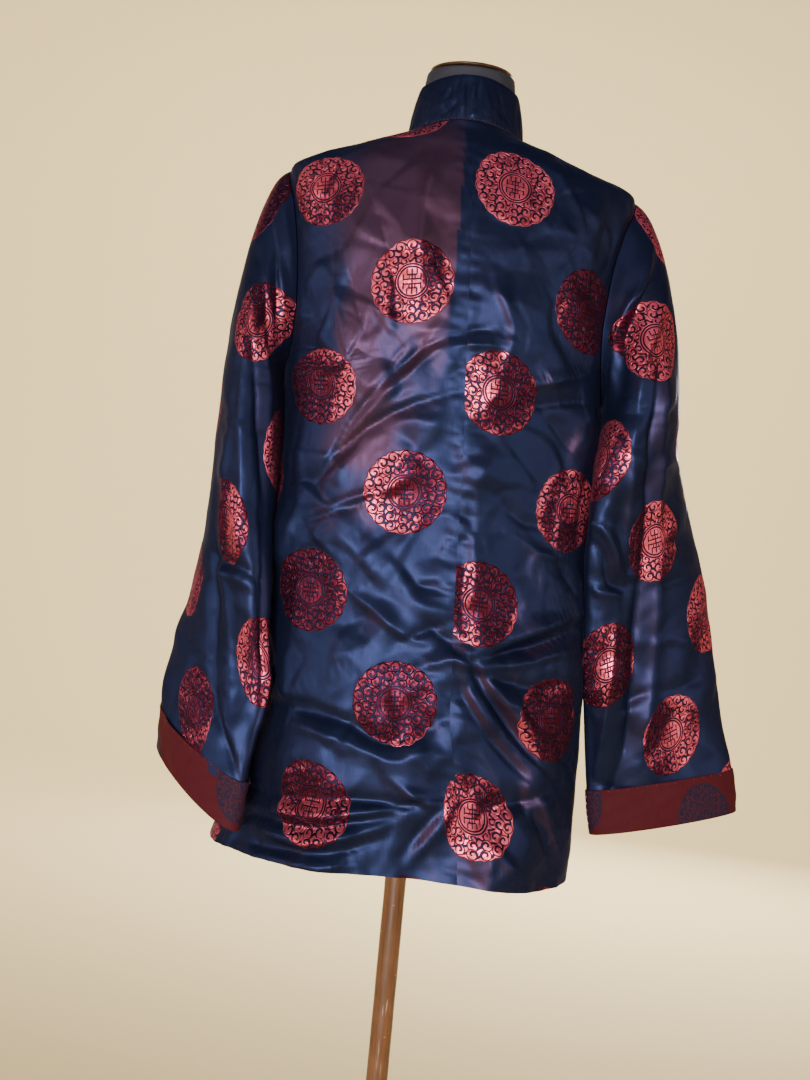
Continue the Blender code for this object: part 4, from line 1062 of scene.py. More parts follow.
# painted light: how strong the painted red sheen and the painted glint on the threads are
shades = {
    "paintedSheenPanel": 0.06, "blushSleeve": 0.08, "paintedSheenLean": 0.6, "sleeveBlushLean": 0.55,
    "paintedSheenBelow": (0.10, 0.22), "leanLeast": 0.04, "leanRange": (-0.4, 0.6), "paintedGlint": 0.36,
    "paintedGlintLean": 2.1, "paintedGlintUpward": 0.6, "paintedGlintLeast": 0.03,
}
paintedSheenSpots = (  # where the painted red sheen shows most: x, drop, reach across, reach down in millimetres, strength
    (60, 110, 65, 90, 0.75), (20, 150, 30, 130, 0.55), (75, 300, 30, 70, 0.45), (100, 230, 16, 50, 0.5),
    (90, 360, 40, 30, 0.45), (75, 430, 50, 30, 0.3),
)
paintedGlintSpots = (  # painted highlight and shade on the pattern's threads: where they are painted brighter or darker
    (155, 91, 23, 27, 0.3), (116, 100, 17, 27, -0.15), (43, 181, 42, 46, 0.42), (-39, 108, 21, 21, 0.3),
    (-85, 81, 19, 35, -0.15), (-148, 203, 46, 51, -0.74), (102, 302, 15, 35, 0.5),
    (143, 310, 24, 46, -0.68), (-37, 302, 15, 35, 0.35), (-77, 286, 23, 37, -0.35),
    (57, 411, 18, 37, 0.48), (7, 398, 27, 51, -0.81), (-161, 408, 10, 31, 0.25),
    (-134, 418, 19, 35, -0.35), (121, 521, 46, 51, -0.81), (87, 511, 7, 27, 0.45),
    (-63, 509, 46, 57, -0.84), (19, 623, 51, 59, -0.94), (-143, 629, 43, 54, -0.84),
    (97, 733, 54, 54, -0.84), (-64, 747, 21, 33, 0.55), (-96, 713, 17, 29, -0.3),
    (201, 240, 21, 42, 0.35), (209, 452, 10, 42, 0.5), (231, 454, 12, 42, -0.45),
    (187, 594, 11, 44, 0.55), (160, 597, 18, 57, -0.68), (231, 660, 25, 46, -0.45),
    (-209, 208, 15, 42, 0.5), (-239, 205, 12, 42, -0.2), (-189, 353, 19, 46, 0.15),
    (-245, 413, 11, 40, 0.45), (-230, 430, 12, 44, -0.3), (-196, 563, 23, 46, 0.4),
    (-271, 651, 23, 40, 0.45), (-311, 632, 15, 37, -0.15),
)
nearEachOther = {  # where a sleeve and a side of the body hang together: drop, how far out the cloth leans
    ("body", "Left"): ((0.28, 0.0), (0.33, 0.0006), (0.60, 0.0006), (0.70, 0.0)),
    ("body", "Right"): ((0.28, 0.0), (0.31, 0.0020), (0.35, 0.0020), (0.40, 0.0004), (0.60, 0.0)),
    ("sleeveLeft", "Left"): ((0.28, 0.0), (0.31, 0.0020), (0.38, 0.0012), (0.42, 0.0022), (0.46, 0.0038),
                             (0.50, 0.0050), (0.54, 0.0042), (0.60, 0.0010), (0.66, 0.0030), (0.70, 0.0)),
    ("sleeveRight", "Right"): ((0.28, 0.0), (0.31, 0.0036), (0.345, 0.0040), (0.38, 0.0024), (0.44, 0.0006),
                               (0.60, 0.0010), (0.66, 0.0020), (0.72, 0.0010)),
}
hangs = {  # at its outline the cloth keeps as wide as it hangs
    "outline": (0.1, 0.62), "least": 0.0003, "gain": 0.25, "towards": (0.45, 0.95),
    "facingBack": (-0.15, 0.25),
}


def facingBack(normals):
    return smoothStep(normals[..., 1], *hangs["facingBack"])


def creaseCloth(grid, on, sizes, closed, seed):
    points, normals = grid["points"], grid["normals"]
    flat = np.stack((points[..., 0], napeHeight - points[..., 2]), axis=-1)
    back = facingBack(normals)
    shift = creaseShift(creases[on], flat, sizes) * back
    shift = shift + creaseShift(frontCreases[on], flat, sizes) * (1 - back)
    shift = shift + sizes["wander"] * wander(points, sizes["wanderScale"], seed)
    shift = shift + sizes["crumple"] * crumple(points, sizes["crumpleScale"], seed + 20)
    shift = shift + sizes["press"] * (pressLines(points, sizes["pressPeriod"], seed + 60) - 0.5)
    hung = hangs["least"] + hangs["gain"] * np.abs(shift)
    outline = 1 - smoothStep(np.abs(normals[..., 1]), *hangs["outline"])
    shift = shift * (1 - outline) + outline * hung
    towards = np.sign(points[..., 0]) * normals[..., 0] * (-1 if closed else 1)
    side = "Left" if points[..., 0].mean() > 0 else "Right"
    reach = np.interp(flat[..., 1], *zip(*nearEachOther[on, side]))
    return shift + reach * smoothStep(towards, *hangs["towards"])


def spotTotal(spots, x, drop):
    total = 0 * x
    for *sizes, strength in spots:
        atX, atDrop, reachX, reachDrop = (size / 1000 for size in sizes)
        total = total + strength * np.exp(-((x - atX) / reachX) ** 2 - ((drop - atDrop) / reachDrop) ** 2)
    return total


# painted light: the red sheen and the threads' glint follow how each fold leans away from the smooth cloth,
# plus the spots listed above
def shadeAttributes(points, normals, closed, base):
    bent = gridNormals(points, closed)
    lean = turnedBack(bent, (bent * normals).sum(-1) < 0) - normals
    x, drop = points[..., 0], napeHeight - points[..., 2]
    gain = shades["paintedSheenLean"] * (shades["sleeveBlushLean"] if closed else 1.0)
    sideways = np.clip(lean[..., 0] - shades["leanLeast"], *shades["leanRange"])
    paintedSheen = base + spotTotal(paintedSheenSpots, x, drop) * facingBack(normals) * (x > 0)
    paintedSheen = paintedSheen + gain * sideways * smoothStep(drop, *shades["paintedSheenBelow"])
    paintedGlint = shades["paintedGlint"] + shades["paintedGlintLean"] * (lean[..., 0] + shades["paintedGlintUpward"] * lean[..., 2])
    paintedGlint = paintedGlint + spotTotal(paintedGlintSpots, x, drop)
    return {"paintedSheen": np.clip(paintedSheen, 0, 1), "paintedGlint": np.clip(paintedGlint, shades["paintedGlintLeast"], 1)}


def makePanel(name, sign, front):
    grid = panelGrid(sign, front)
    shift = creaseCloth(grid, "body", panels, False, panels["seed"])
    columns = np.abs(grid["uv"][..., 0])
    wide = columns[-1][None, :]
    edge = np.minimum(columns, np.where(grid["drops"] > jacket["underarmDrop"], wide - columns, 1.0))
    shift = shift * smoothStep(grid["drops"] - grid["drops"][:, :1], 0.0, panels["topHeld"])
    nearArmhole = smoothStep(wide - columns, 0.0, panels["armholeHeld"])
    besideArmhole = grid["drops"] < jacket["underarmDrop"] + panels["armholeBelow"]
    shift = shift * np.where(besideArmhole, nearArmhole, 1.0)
    shift = shift - panels["seamRoll"] * np.exp(-(edge / panels["seamReach"]) ** 2)
    pucker = wander(grid["points"] * panels["puckerStretch"], panels["puckerScale"], panels["puckerSeed"])
    pucker = pucker * np.exp(-(columns / panels["puckerReach"]) ** 2)
    pucker = pucker * smoothStep(columns, 0.0, panels["seamHeld"])
    shift = shift + panels["seamPucker"] * pucker * (not front)
    grid["points"] = grid["points"] + shift[..., None] * grid["normals"]
    paintedLight = shadeAttributes(grid["points"], grid["normals"], False, shades["paintedSheenPanel"])
    piece = addCloth(name, grid["points"], grid["uv"], paintedLight, (brocade[name], reverse), grid["normals"])
    width, length = columns.max(), grid["uv"][..., 1].max() - grid["uv"][..., 1].min()
    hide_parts(nodeName(name))
    return piece, (float(width), float(length))


for name, sign in (("backLeft", 1), ("backRight", -1), ("frontLeft", 1), ("frontRight", -1)):
    panel, cut = makePanel(name, sign, name.startswith("front"))
    panels["share"] * cut[0] * cut[1]
print("panels made")

# the sleeves and their turned-back cuffs
sleeveCloth = {
    "strength": 1.6, "wander": 0.0012, "wanderScale": 0.070, "crumple": 0.0003, "crumpleScale": 0.022,
    "press": 0.0014, "pressPeriod": 0.050, "headHeld": 7, "cuffHeld": 9, "share": 0.88, "seed": 11,
    "cuffHold": 0.7,
}
cuffs = {
    "height": 0.047, "standOff": 0.0026, "flare": 0.0026, "sway": 0.0006, "below": 0.0014, "rings": 22,
    "foldRings": 5, "lipIn": 0.0007, "lipUp": 0.0006, "rimDown": 0.0012, "tacks": 5, "seed": 31,
    "unevenScale": 0.09, "swaySeed": 37, "swayScale": 0.03, "rimOut": 0.0003, "tackOut": 0.0004,
    "tackSpan": (0.25, 0.85),
}


def makeSleeve(name, sign):
    grid = sleeveGrid(sign)
    shift = creaseCloth(grid, name, sleeveCloth, True, sleeveCloth["seed"] + sign)
    rings, last = np.arange(shift.shape[0])[:, None], shift.shape[0] - 1
    nearCuff = smoothStep(rings, last + 1 - sleeveCloth["cuffHeld"], last)
    held = 1 - sleeveCloth["cuffHold"] * nearCuff
    shift = shift * smoothStep(rings, 0, sleeveCloth["headHeld"]) * held
    grid["points"] = grid["points"] + shift[..., None] * grid["normals"]
    paintedLight = shadeAttributes(grid["points"], grid["normals"], True, shades["blushSleeve"])
    cloths = (brocade[name], reverse)
    piece = addCloth(name, grid["points"], grid["uv"], paintedLight, cloths, grid["normals"], True)
    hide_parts(nodeName(name))
    return piece, grid


def makeCuff(name, side, sign, grid):
    rings, foldRings = cuffs["rings"], cuffs["foldRings"]
    table = sleeveLeft if sign > 0 else sleeveRight
    drops = np.linspace(table[-1][0], table[-1][0] - cuffs["height"], rings)
    base = sleeveRing(table, sign, *np.meshgrid(drops, sleeveTurns(), indexing="ij"))
    normals = levelNormals(base)
    share = np.linspace(0, 1, rings)[:, None]
    uneven = 0.5 + 0.5 * wander(base, cuffs["unevenScale"], cuffs["seed"] + sign)
    sway = cuffs["sway"] * wander(base, cuffs["swayScale"], cuffs["swaySeed"])
    out = cuffs["standOff"] + cuffs["flare"] * share * uneven + sway
    band = base + out[..., None] * normals
    turn = np.linspace(-math.pi / 2, 0, foldRings + 1)[:-1, None]  # the soft fold at the bottom
    fold = base[:1] + (cuffs["standOff"] * np.cos(turn))[..., None] * normals[:1]
    fold[..., 2] += cuffs["below"] * np.sin(turn)
    lip = band[-1:] - cuffs["lipIn"] * normals[-1:]  # the raw edge turned in
    lip[..., 2] += cuffs["lipUp"]
    points = np.concatenate((fold, band, lip))
    outward = np.concatenate((np.repeat(normals[:1], foldRings, 0), normals, normals[-1:]))
    across, up = clothAround(points)
    uv = np.stack((sign * across, grid["uv"][-1, :, 1].mean() + up), axis=-1)
    piece = addCloth(name, points, uv, {}, (cuffReverse[side],), outward, True)
    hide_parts(nodeName(name))
    rim = band[-1] + cuffs["rimOut"] * normals[-1] - np.array((0.0, 0.0, cuffs["rimDown"]))
    upright = np.tile((0.15, 0.0, 1.0), (len(rim), 1))  # the way each stitch lies
    sewn = [addStitches("cuffStitches" + side, [(rim, upright)], stitching["cuff"], redThread)]
    if side == "Right":  # pale tacking left in at the cuff's inner end
        column = int(np.argmax(band[rings // 2, :, 0] + 0.35 * band[rings // 2, :, 1]))
        low, high = cuffs["tackSpan"]
        rows = np.linspace(rings * low, rings * high, cuffs["tacks"]).astype(int)
        path = band[rows, column] + cuffs["tackOut"] * normals[rows, column]
        slanted = np.tile((0.5, 0.1, 0.8), (len(path), 1))
        sewn.append(addStitches("cuffTacks", [(path, slanted)], stitching["tacks"], paleThread))
    return piece, uv, sewn


def cutSize(uv):
    across, down = np.ptp(uv.reshape(-1, 2), axis=0)
    return [float(across), float(down)]


for side, sign in (("Left", 1), ("Right", -1)):
    sleeve, grid = makeSleeve("sleeve" + side, sign)
    cut = cutSize(grid["uv"])
    sleeveCloth["share"] * cut[0] * cut[1]
    cuff, uv, sewn = makeCuff("cuff" + side, side, sign, grid)
print("sleeves and cuffs made")

# the stand collar, sewn to the panels' own neck edges
collarNames = ("along", "narrowing", "rise")
collarTable = (
    (0.00, 0.840, 0.0515),
    (0.25, 0.840, 0.0525),
    (0.42, 0.850, 0.0530),
    (0.50, 0.870, 0.0505),
    (0.62, 0.985, 0.0460),
    (0.80, 0.960, 0.0420),
    (1.00, 0.930, 0.040),
)
collar = {
    "setBack": 0.0009, "seam": 0.0006, "bow": 0.02, "rows": 34, "stations": 260, "strength": 1.9,
    "crumple": 0.0003, "edgeRoll": 0.0005, "pucker": 0.00035, "puckers": 62, "paintedSheen": 0.03,
    "paintedGlint": 0.5, "crumpleScale": 0.022, "crumpleSeed": 41, "rollStart": 0.93, "held": 0.12,
    "puckerReach": 0.16, "waver": 3, "waverScale": 0.05, "waverSeed": 43, "stitchOut": 0.0002,
    "stitchLean": 1.1,
}
collarCreases = (  # the same, its path from the nape to the left and up from the seam
    (2.4, 1.3, 0.6, ((7.5, 46), (6, 30), (4.5, 16), (5, 6))),
    (1.8, -1.2, 0.4, ((1, 46), (0.5, 32), (-1, 20))),
    (2.2, 1.2, 0.5, ((-6.8, 46), (-6, 34), (-4.5, 22))),
    (1.8, -1, 0.4, ((-13, 46), (-12, 36), (-11, 28))),
    (2, -1, 0.4, ((15, 46), (15.5, 38), (14, 30))),
    (1.6, -1, 0.4, ((-10.5, 36), (-10, 30), (-11.8, 24))),
    (2.4, 1, 0.3, ((-9, 14), (-7.5, 8), (-8.5, 3))),
    (3, -1, 0.4, ((22, 38), (23.5, 30), (21.5, 22))),
    (3.4, 0.9, 0.4, ((29, 36), (30, 24), (27, 14))),
    (4, -0.8, 0.4, ((12, 22), (17, 14), (23, 10))),
    (5, 0.8, 0.4, ((-22, 34), (-26, 20), (-24, 6))),
    (4, -0.9, 0.4, ((-40, 40), (-45, 24), (-43, 8))),
    (5, 0.8, 0.4, ((50, 38), (54, 22), (52, 6))),
    (4, -0.8, 0.4, ((78, 34), (82, 20), (79, 8))),
    (4, -0.8, 0.4, ((-80, 36), (-76, 22), (-79, 6))),
    (5, 0.9, 0.4, ((-108, 34), (-112, 18), (-109, 6))),
)


def neckPath():  # the panels' neck edges, from the right of the front round the nape to its left
    frontRight, backRight, backLeft, frontLeft = (
        panelGrid(sign, front)["points"][:jacket["neckColumns"] + 1, 0]
        for sign, front in ((-1, True), (-1, False), (1, False), (1, True)))
    return np.concatenate((
        frontRight[:-1], (frontRight[-1:] + backRight[-1:]) / 2, backRight[-2:0:-1],
        (backRight[:1] + backLeft[:1]) / 2,
        backLeft[1:-1], (frontLeft[-1:] + backLeft[-1:]) / 2, frontLeft[-2::-1]))


def makeCollar():
    path = neckPath()
    lengths = lengthsAlong(path, 0)
    at = np.linspace(collar["setBack"], lengths[-1] - collar["setBack"], collar["stations"])
    base = np.stack([np.interp(at, lengths, path[:, k]) for k in range(3)], axis=-1)
    base[:, 2] += collar["seam"]
    along = np.abs(2 * at / lengths[-1] - 1)
    narrowing, rise = (readColumn(collarTable, collarNames, name, along) for name in collarNames[1:])
    top = np.stack((base[:, 0] * narrowing, base[:, 1] * narrowing, base[:, 2] + rise), axis=-1)
    share = np.linspace(0, 1, collar["rows"])[:, None, None]
    level = np.array((1.0, 1.0, 0.0))
    points = base * (1 - share) + top * share + 4 * share * (1 - share) * collar["bow"] * base * level
    normals = gridNormals(points, False)
    normals = np.where((normals * points * level).sum() < 0, -normals, normals)
    fromNape = at - lengths[-1] / 2
    up = share[..., 0] * rise[None, :]
    flat = np.stack(np.broadcast_arrays(fromNape[None, :], up), axis=-1)
    shift = creaseShift(collarCreases, flat, collar)
    shift = shift + collar["crumple"] * crumple(points, collar["crumpleScale"], collar["crumpleSeed"])
    roll = collar["edgeRoll"] * smoothStep(share[..., 0], collar["rollStart"], 1.0)
    shift = shift * smoothStep(share[..., 0], 0.0, collar["held"]) - roll
    waver = collar["waver"] * wander(base, collar["waverScale"], collar["waverSeed"])
    puckers = np.sin(fromNape * math.tau * collar["puckers"] / lengths[-1] + waver)
    shift = shift + collar["pucker"] * puckers * np.exp(-(share[..., 0] / collar["puckerReach"]) ** 2)
    points = points + shift[..., None] * normals
    uv = np.stack(np.broadcast_arrays(fromNape[None, :] + 0 * up, up), axis=-1)
    # the collar gets an even painted sheen and painted glint
    paintedLight = {name: collar[name] + 0 * shift for name in ("paintedSheen", "paintedGlint")}
    piece = addCloth("standCollar", points, uv, paintedLight, (plainSatin, reverse), normals)
    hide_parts("collar")
    low = points[1] + collar["stitchOut"] * normals[1]  # stitches lean across the seam at its foot
    way = unit(np.gradient(low, axis=0)) + np.array((0.0, 0.0, collar["stitchLean"]))
    sewn = addStitches("collarStitches", [(low, way)], stitching["collar"], redThread)
    return piece, (float(lengths[-1]), float(rise.max())), sewn


plainSatin = makeBrocade("plainSatin", None)
collarPiece, cut, sewn = makeCollar()
print("collar made")

# cord fastenings down the front
frogs = {
    "drops": (0.090, 0.199, 0.308, 0.417, 0.526, 0.635), "reach": 0.052, "cord": 0.0019,
    "strandGap": 0.0044, "ball": 0.0058, "lift": 0.0034, "stations": 26, "knotStart": 0.0125,
    "loopStart": 0.0105, "sides": 12, "bendSteps": 8, "turnsPerMetre": 260.0, "rib": 0.00012,
    "knotCord": 0.00135, "knotSides": 8, "knotStations": 30, "knotSway": 0.00022, "bands": 1.9,
    "bandPhase": 2.1, "bandJitter": 0.3, "seed": 50, "coreIn": 0.0004, "stitchStart": 0.002,
    "stitchEnd": 0.001, "stitchSteps": 12, "stitchOut": 0.0010,
}


def frontSurface(drop, offset):
    sign = 1 if offset > 0 else -1
    drop = np.array([drop])
    centre, outer = panelEdges(drop, sign, True)
    turn, _ = turnsAt(drop, centre, outer, lambda whole: np.full_like(whole, abs(offset)))
    lift = frogs["lift"] + foldsTotal(bodyFolds, drop, turn)
    return (sectionPoint(drop, turn) + lift[..., None] * sectionNormal(drop, turn))[0]


def frogPath(drop, sign, start):
    half = frogs["strandGap"] / 2
    offsets = np.linspace(start, frogs["reach"], frogs["stations"])
    path = [frontSurface(drop - half, sign * offset) for offset in offsets]
    for k in range(1, frogs["bendSteps"]):  # round the far end
        a = math.pi * k / frogs["bendSteps"]
        path.append(frontSurface(drop - half * math.cos(a), sign * (frogs["reach"] + half * math.sin(a))))
    return path + [frontSurface(drop + half, sign * offset) for offset in offsets[::-1]]


def tubeGrid(path, radius, sides, closed=False, rib=0.0, turns=0.0):  # rings of points along a path
    p = np.array(path)
    run = unit(np.roll(p, -1, 0) - np.roll(p, 1, 0) if closed else np.gradient(p, axis=0))
    side = np.cross(run, (0.0, 1.0, 0.0))
    weak = np.linalg.norm(side, axis=1) < 0.2
    side[weak] = np.cross(run[weak], (0.0, 0.0, 1.0))
    side = unit(side)
    up = np.cross(side, run)
    a = math.tau * np.arange(sides) / sides
    far = lengthsAlong(p, 0)
    swell = radius + rib * np.cos(2 * (a[None, :] - turns * far[:, None]))
    out = side[:, None] * np.cos(a)[None, :, None] + up[:, None] * np.sin(a)[None, :, None]
    return p[:, None] + swell[..., None] * out, far


def tubeInto(mesh, rings, far, closed=False):  # adds one tube's faces to a bmesh
    count, sides = rings.shape[:2]
    layer = mesh.loops.layers.uv.get("cutMetres") or mesh.loops.layers.uv.new("cutMetres")
    verts = [[mesh.verts.new(point) for point in ring] for ring in rings]
    for i in range(count if closed else count - 1):
        for j in range(sides):
            n, m = (i + 1) % count, (j + 1) % sides
            face = mesh.faces.new((verts[i][j], verts[i][m], verts[n][m], verts[n][j]))
            ahead = far[i + 1] if i + 1 < count else 2 * far[i] - far[i - 1]
            for loop, (v, u) in zip(face.loops, ((far[i], j), (far[i], j + 1), (ahead, j + 1), (ahead, j))):
                loop[layer].uv = (0.001 * u, v)
    if not closed:
        mesh.faces.new(verts[0][::-1])
        mesh.faces.new(verts[-1])


def finishTubes(name, mesh, material, node):
    bmesh.ops.recalc_face_normals(mesh, faces=mesh.faces)
    data = bpy.data.meshes.new(name)
    mesh.to_mesh(data)
    mesh.free()
    piece = addPiece(name, data, (material,))
    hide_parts(node)
    return piece


def makeFrogCord(name, number, path):
    mesh = bmesh.new()
    rings, far = tubeGrid(path, frogs["cord"], frogs["sides"], False, frogs["rib"], frogs["turnsPerMetre"])
    tubeInto(mesh, rings, far)
    finishTubes(f"frog{name}Cord{number}", mesh, cordSatin, f"frog_{name.lower()}_{number}")


def makeFrogBall(number, drop):
    middle = (frontSurface(drop, 1e-6) + frontSurface(drop, -1e-6)) / 2 + np.array((0, -frogs["ball"], 0))
    mesh = bmesh.new()
    far = frogs["ball"] - frogs["knotCord"]
    rng = np.random.default_rng(frogs["seed"] + number)
    jitter = frogs["bandJitter"]
    a = math.tau * np.arange(frogs["knotStations"]) / frogs["knotStations"]
    for axis in range(3):  # three bands of cord worked over and under round the ball
        for step in (-1, 0, 1):
            offset = step * frogs["bands"] * frogs["knotCord"]
            phase = axis * frogs["bandPhase"] + step * math.pi + rng.uniform(-jitter, jitter)
            reach = math.sqrt(far ** 2 - offset ** 2) + frogs["knotSway"] * np.sin(4 * a + phase)
            ring = np.stack((reach * np.cos(a), reach * np.sin(a), offset + 0 * a), axis=-1)
            ring = np.roll(ring, axis, axis=1) + middle
            rings, lengths = tubeGrid(ring, frogs["knotCord"], frogs["knotSides"], closed=True)
            tubeInto(mesh, rings, lengths, closed=True)
    core = Matrix.Translation(Vector(middle))
    bmesh.ops.create_icosphere(mesh, subdivisions=2, radius=far - frogs["coreIn"], matrix=core)
    finishTubes(f"frogKnotBall{number}", mesh, cordSatin, f"frog_ball_{number}")


def frogStitchPath(drop, sign):  # between the cord's two strands
    start, end = frogs["knotStart"] + frogs["stitchStart"], frogs["reach"] - frogs["stitchEnd"]
    stations = np.linspace(start, end, frogs["stitchSteps"])
    path = [frontSurface(drop, sign * at) - np.array((0.0, frogs["stitchOut"], 0.0)) for at in stations]
    return path, [(0.25 * sign, 0.0, 1.0)] * len(stations)


def makeCordSatin():
    material, tree, shader = newMaterial("cordSatin", (0.016, 0.024, 0.070), 0.42, Metallic=0.45,
                                         Sheen_Weight=0.1)
    uv = coordinates(tree, uvMap="cutMetres")
    weave = noiseWire(tree, uv, 900.0, 2.0, 0.5, (1.0, 0.35, 1.0))
    wear = noiseWire(tree, coordinates(tree), 160.0, 3.0, 0.6)
    color = mixColor(tree, wear, (0.010, 0.015, 0.046), (0.030, 0.038, 0.090))
    tree.links.new(color, shader.inputs["Base Color"])
    (wear * 0.2 + 0.32).into(shader.inputs["Roughness"])
    bumpInto(tree, shader, weave, 0.4, 0.0004)
    return material


cordSatin = makeCordSatin()
sewn = []
for number, drop in enumerate(frogs["drops"], 1):
    makeFrogCord("Knot", number, frogPath(drop, 1, frogs["knotStart"]))
    makeFrogCord("Loop", number, frogPath(drop, -1, frogs["loopStart"]))
    makeFrogBall(number, drop)
    sewn += [frogStitchPath(drop, 1), frogStitchPath(drop, -1)]
addStitches("frogStitches", sewn, stitching["frogs"], navyThread)
print("fastenings made")

# the dress form and its stand
formNames = ("drop", "halfWidth", "back", "front")
trunkRows = (
    (0.0000, 0.0240, 0.0450, 0.0060),
    (0.0090, 0.0470, 0.0510, 0.0120),
    (0.0300, 0.0980, 0.0650, 0.0260),
    (0.0590, 0.1700, 0.0830, 0.0450),
    (0.0750, 0.1760, 0.0920, 0.0580),
    (0.1000, 0.1760, 0.1010, 0.0760),
    (0.1500, 0.1700, 0.1090, 0.1010),
    (0.2200, 0.1620, 0.1110, 0.1200),
    (0.3000, 0.1500, 0.1040, 0.1240),
    (0.3900, 0.1340, 0.0880, 0.1030),
    (0.4700, 0.1400, 0.0930, 0.1030),
    (0.5500, 0.1500, 0.1010, 0.1120),
    (0.6200, 0.1520, 0.1030, 0.1140),
    (0.6600, 0.1460, 0.0980, 0.1080),
    (0.6750, 0.1300, 0.0860, 0.0950),
)
neckRows = (
    (-0.0620, 0.0400, 0.0365, 0.0415),
    (-0.0560, 0.0465, 0.0400, 0.0465),
    (-0.0460, 0.0490, 0.0400, 0.0495),
    (-0.0390, 0.0462, 0.0385, 0.0498),
    (-0.0250, 0.0456, 0.0385, 0.0500),
    (-0.0100, 0.0465, 0.0430, 0.0495),
    (0.0100, 0.0475, 0.0465, 0.0500),
    (0.0400, 0.0480, 0.0500, 0.0520),
    (0.0800, 0.0500, 0.0500, 0.0570),
)
neckWidening = (  # the cover is padded out above the collar: drop, by how much
    (-0.064, 1.19), (-0.062, 1.215), (-0.056, 1.075), (-0.046, 1.03), (-0.030, 1.0),
)
form = {
    "sharpness": 20.0, "neckRoundness": 2.0, "stations": 128, "levels": 150, "topDrop": -0.0640,
    "topRound": 0.0035, "topShrink": 0.045, "endDrop": 0.675, "endRound": 0.006, "endShrink": 0.09,
    "seamDepth": 0.0009, "seamWidth": 1.1, "clear": 0.0007, "edgeSteps": 7, "seamStart": 0.02,
}
formSeams = (0.0, 180.0, 88.0, -88.0, 32.0, -32.0, 146.0, -146.0)  # turns at which its cover is joined


def formRadius(table, roundness, drop, angle):
    wide, back, front = (readColumn(table, formNames, name, drop) for name in formNames[1:])
    depth = np.where(np.cos(angle) >= 0, back, front)
    across, along = np.abs(np.sin(angle)) / wide, np.abs(np.cos(angle)) / depth
    return (across ** roundness + along ** roundness) ** (-1 / roundness)


def formLevels():  # (drop, share of the full width) from the rounded top edge to the rounded lower one
    start, end = form["topDrop"], form["endDrop"]
    drops = np.linspace(start + form["topRound"], end - form["endRound"], form["levels"])
    turn = np.linspace(0, math.pi / 2, form["edgeSteps"])
    upper = [(start + form["topRound"] * (1 - math.sin(a)), 1 - form["topShrink"] * (1 - math.cos(a)))
             for a in turn[::-1]][:-1]
    lower = [(end - form["endRound"] * (1 - math.sin(a)), 1 - form["endShrink"] * (1 - math.cos(a)))
             for a in turn][1:]
    return upper + [(drop, 1.0) for drop in drops] + lower


def makeForm():
    levels = formLevels()
    drop = np.array([row[0] for row in levels])[:, None]
    shrink = np.array([row[1] for row in levels])[:, None]
    angle = math.tau * np.arange(form["stations"]) / form["stations"]
    angle = np.broadcast_to(angle, (len(levels), form["stations"]))
    drop = np.broadcast_to(drop, angle.shape)
    neck = formRadius(neckRows, form["neckRoundness"], drop, angle)
    neck = np.where(drop <= neckRows[-1][0], neck, 1e-6) * np.interp(drop, *zip(*neckWidening))
    trunk = formRadius(trunkRows, jacket["squareness"], drop, angle)
    trunk = np.where(drop >= trunkRows[0][0], trunk, 1e-6)
    reach = (neck ** form["sharpness"] + trunk ** form["sharpness"]) ** (1 / form["sharpness"])
    away = np.min([np.abs((np.degrees(angle) - seam + 180) % 360 - 180) for seam in formSeams], axis=0)
    groove = form["seamDepth"] * np.exp(-(away / form["seamWidth"]) ** 2) * (drop > form["seamStart"])
    reach = reach * shrink - groove - form["clear"]
    points = np.stack((reach * np.sin(angle), reach * np.cos(angle), napeHeight - drop), axis=-1)
    rings, stations = points.shape[:2]
    faces = []
    for i in range(rings - 1):
        here, below = i * stations, (i + 1) * stations
        for k in range(stations):
            after = (k + 1) % stations
            faces.append((here + k, here + after, below + after, below + k))
    faces += [tuple(range(stations)), tuple(range(rings * stations - 1, (rings - 1) * stations - 1, -1))]
    mesh = bmesh.new()
    data = bpy.data.meshes.new("dressForm")
    data.from_pydata(points.reshape(-1, 3).tolist(), [], faces)
    mesh.from_mesh(data)
    bmesh.ops.recalc_face_normals(mesh, faces=mesh.faces)
    mesh.to_mesh(data)
    mesh.free()
    piece = addPiece("dressForm", data, (formCover,))
    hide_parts("torso")


def makeFormCover():
    material, tree, shader = newMaterial("formCover", (0.014, 0.016, 0.030), 0.85, Sheen_Weight=0.06,
                                         Sheen_Roughness=0.4)
    shader.inputs["Sheen Tint"].default_value = (0.6, 0.65, 0.85, 1)
    spot = coordinates(tree)
    knit = noiseWire(tree, spot, 700.0, 2.0, 0.5, (1.0, 1.0, 0.35))
    dust = noiseWire(tree, spot, 22.0, 4.0, 0.6)
    color = mixColor(tree, dust.step(0.5, 0.5), (0.011, 0.013, 0.026), (0.024, 0.026, 0.042))
    tree.links.new(color, shader.inputs["Base Color"])
    (dust * 0.15 + 0.72).into(shader.inputs["Roughness"])
    bumpInto(tree, shader, knit, 0.5, 0.0006)
    return material


woodLook = {
    "base": (0.23, 0.09, 0.035), "rough": 0.38, "dark": (0.075, 0.026, 0.011),
    "light": (0.190, 0.076, 0.032), "worn": (0.24, 0.105, 0.048), "bare": (0.60, 0.45, 0.30),
}
woodTones = ("dark", "light", "worn", "bare")


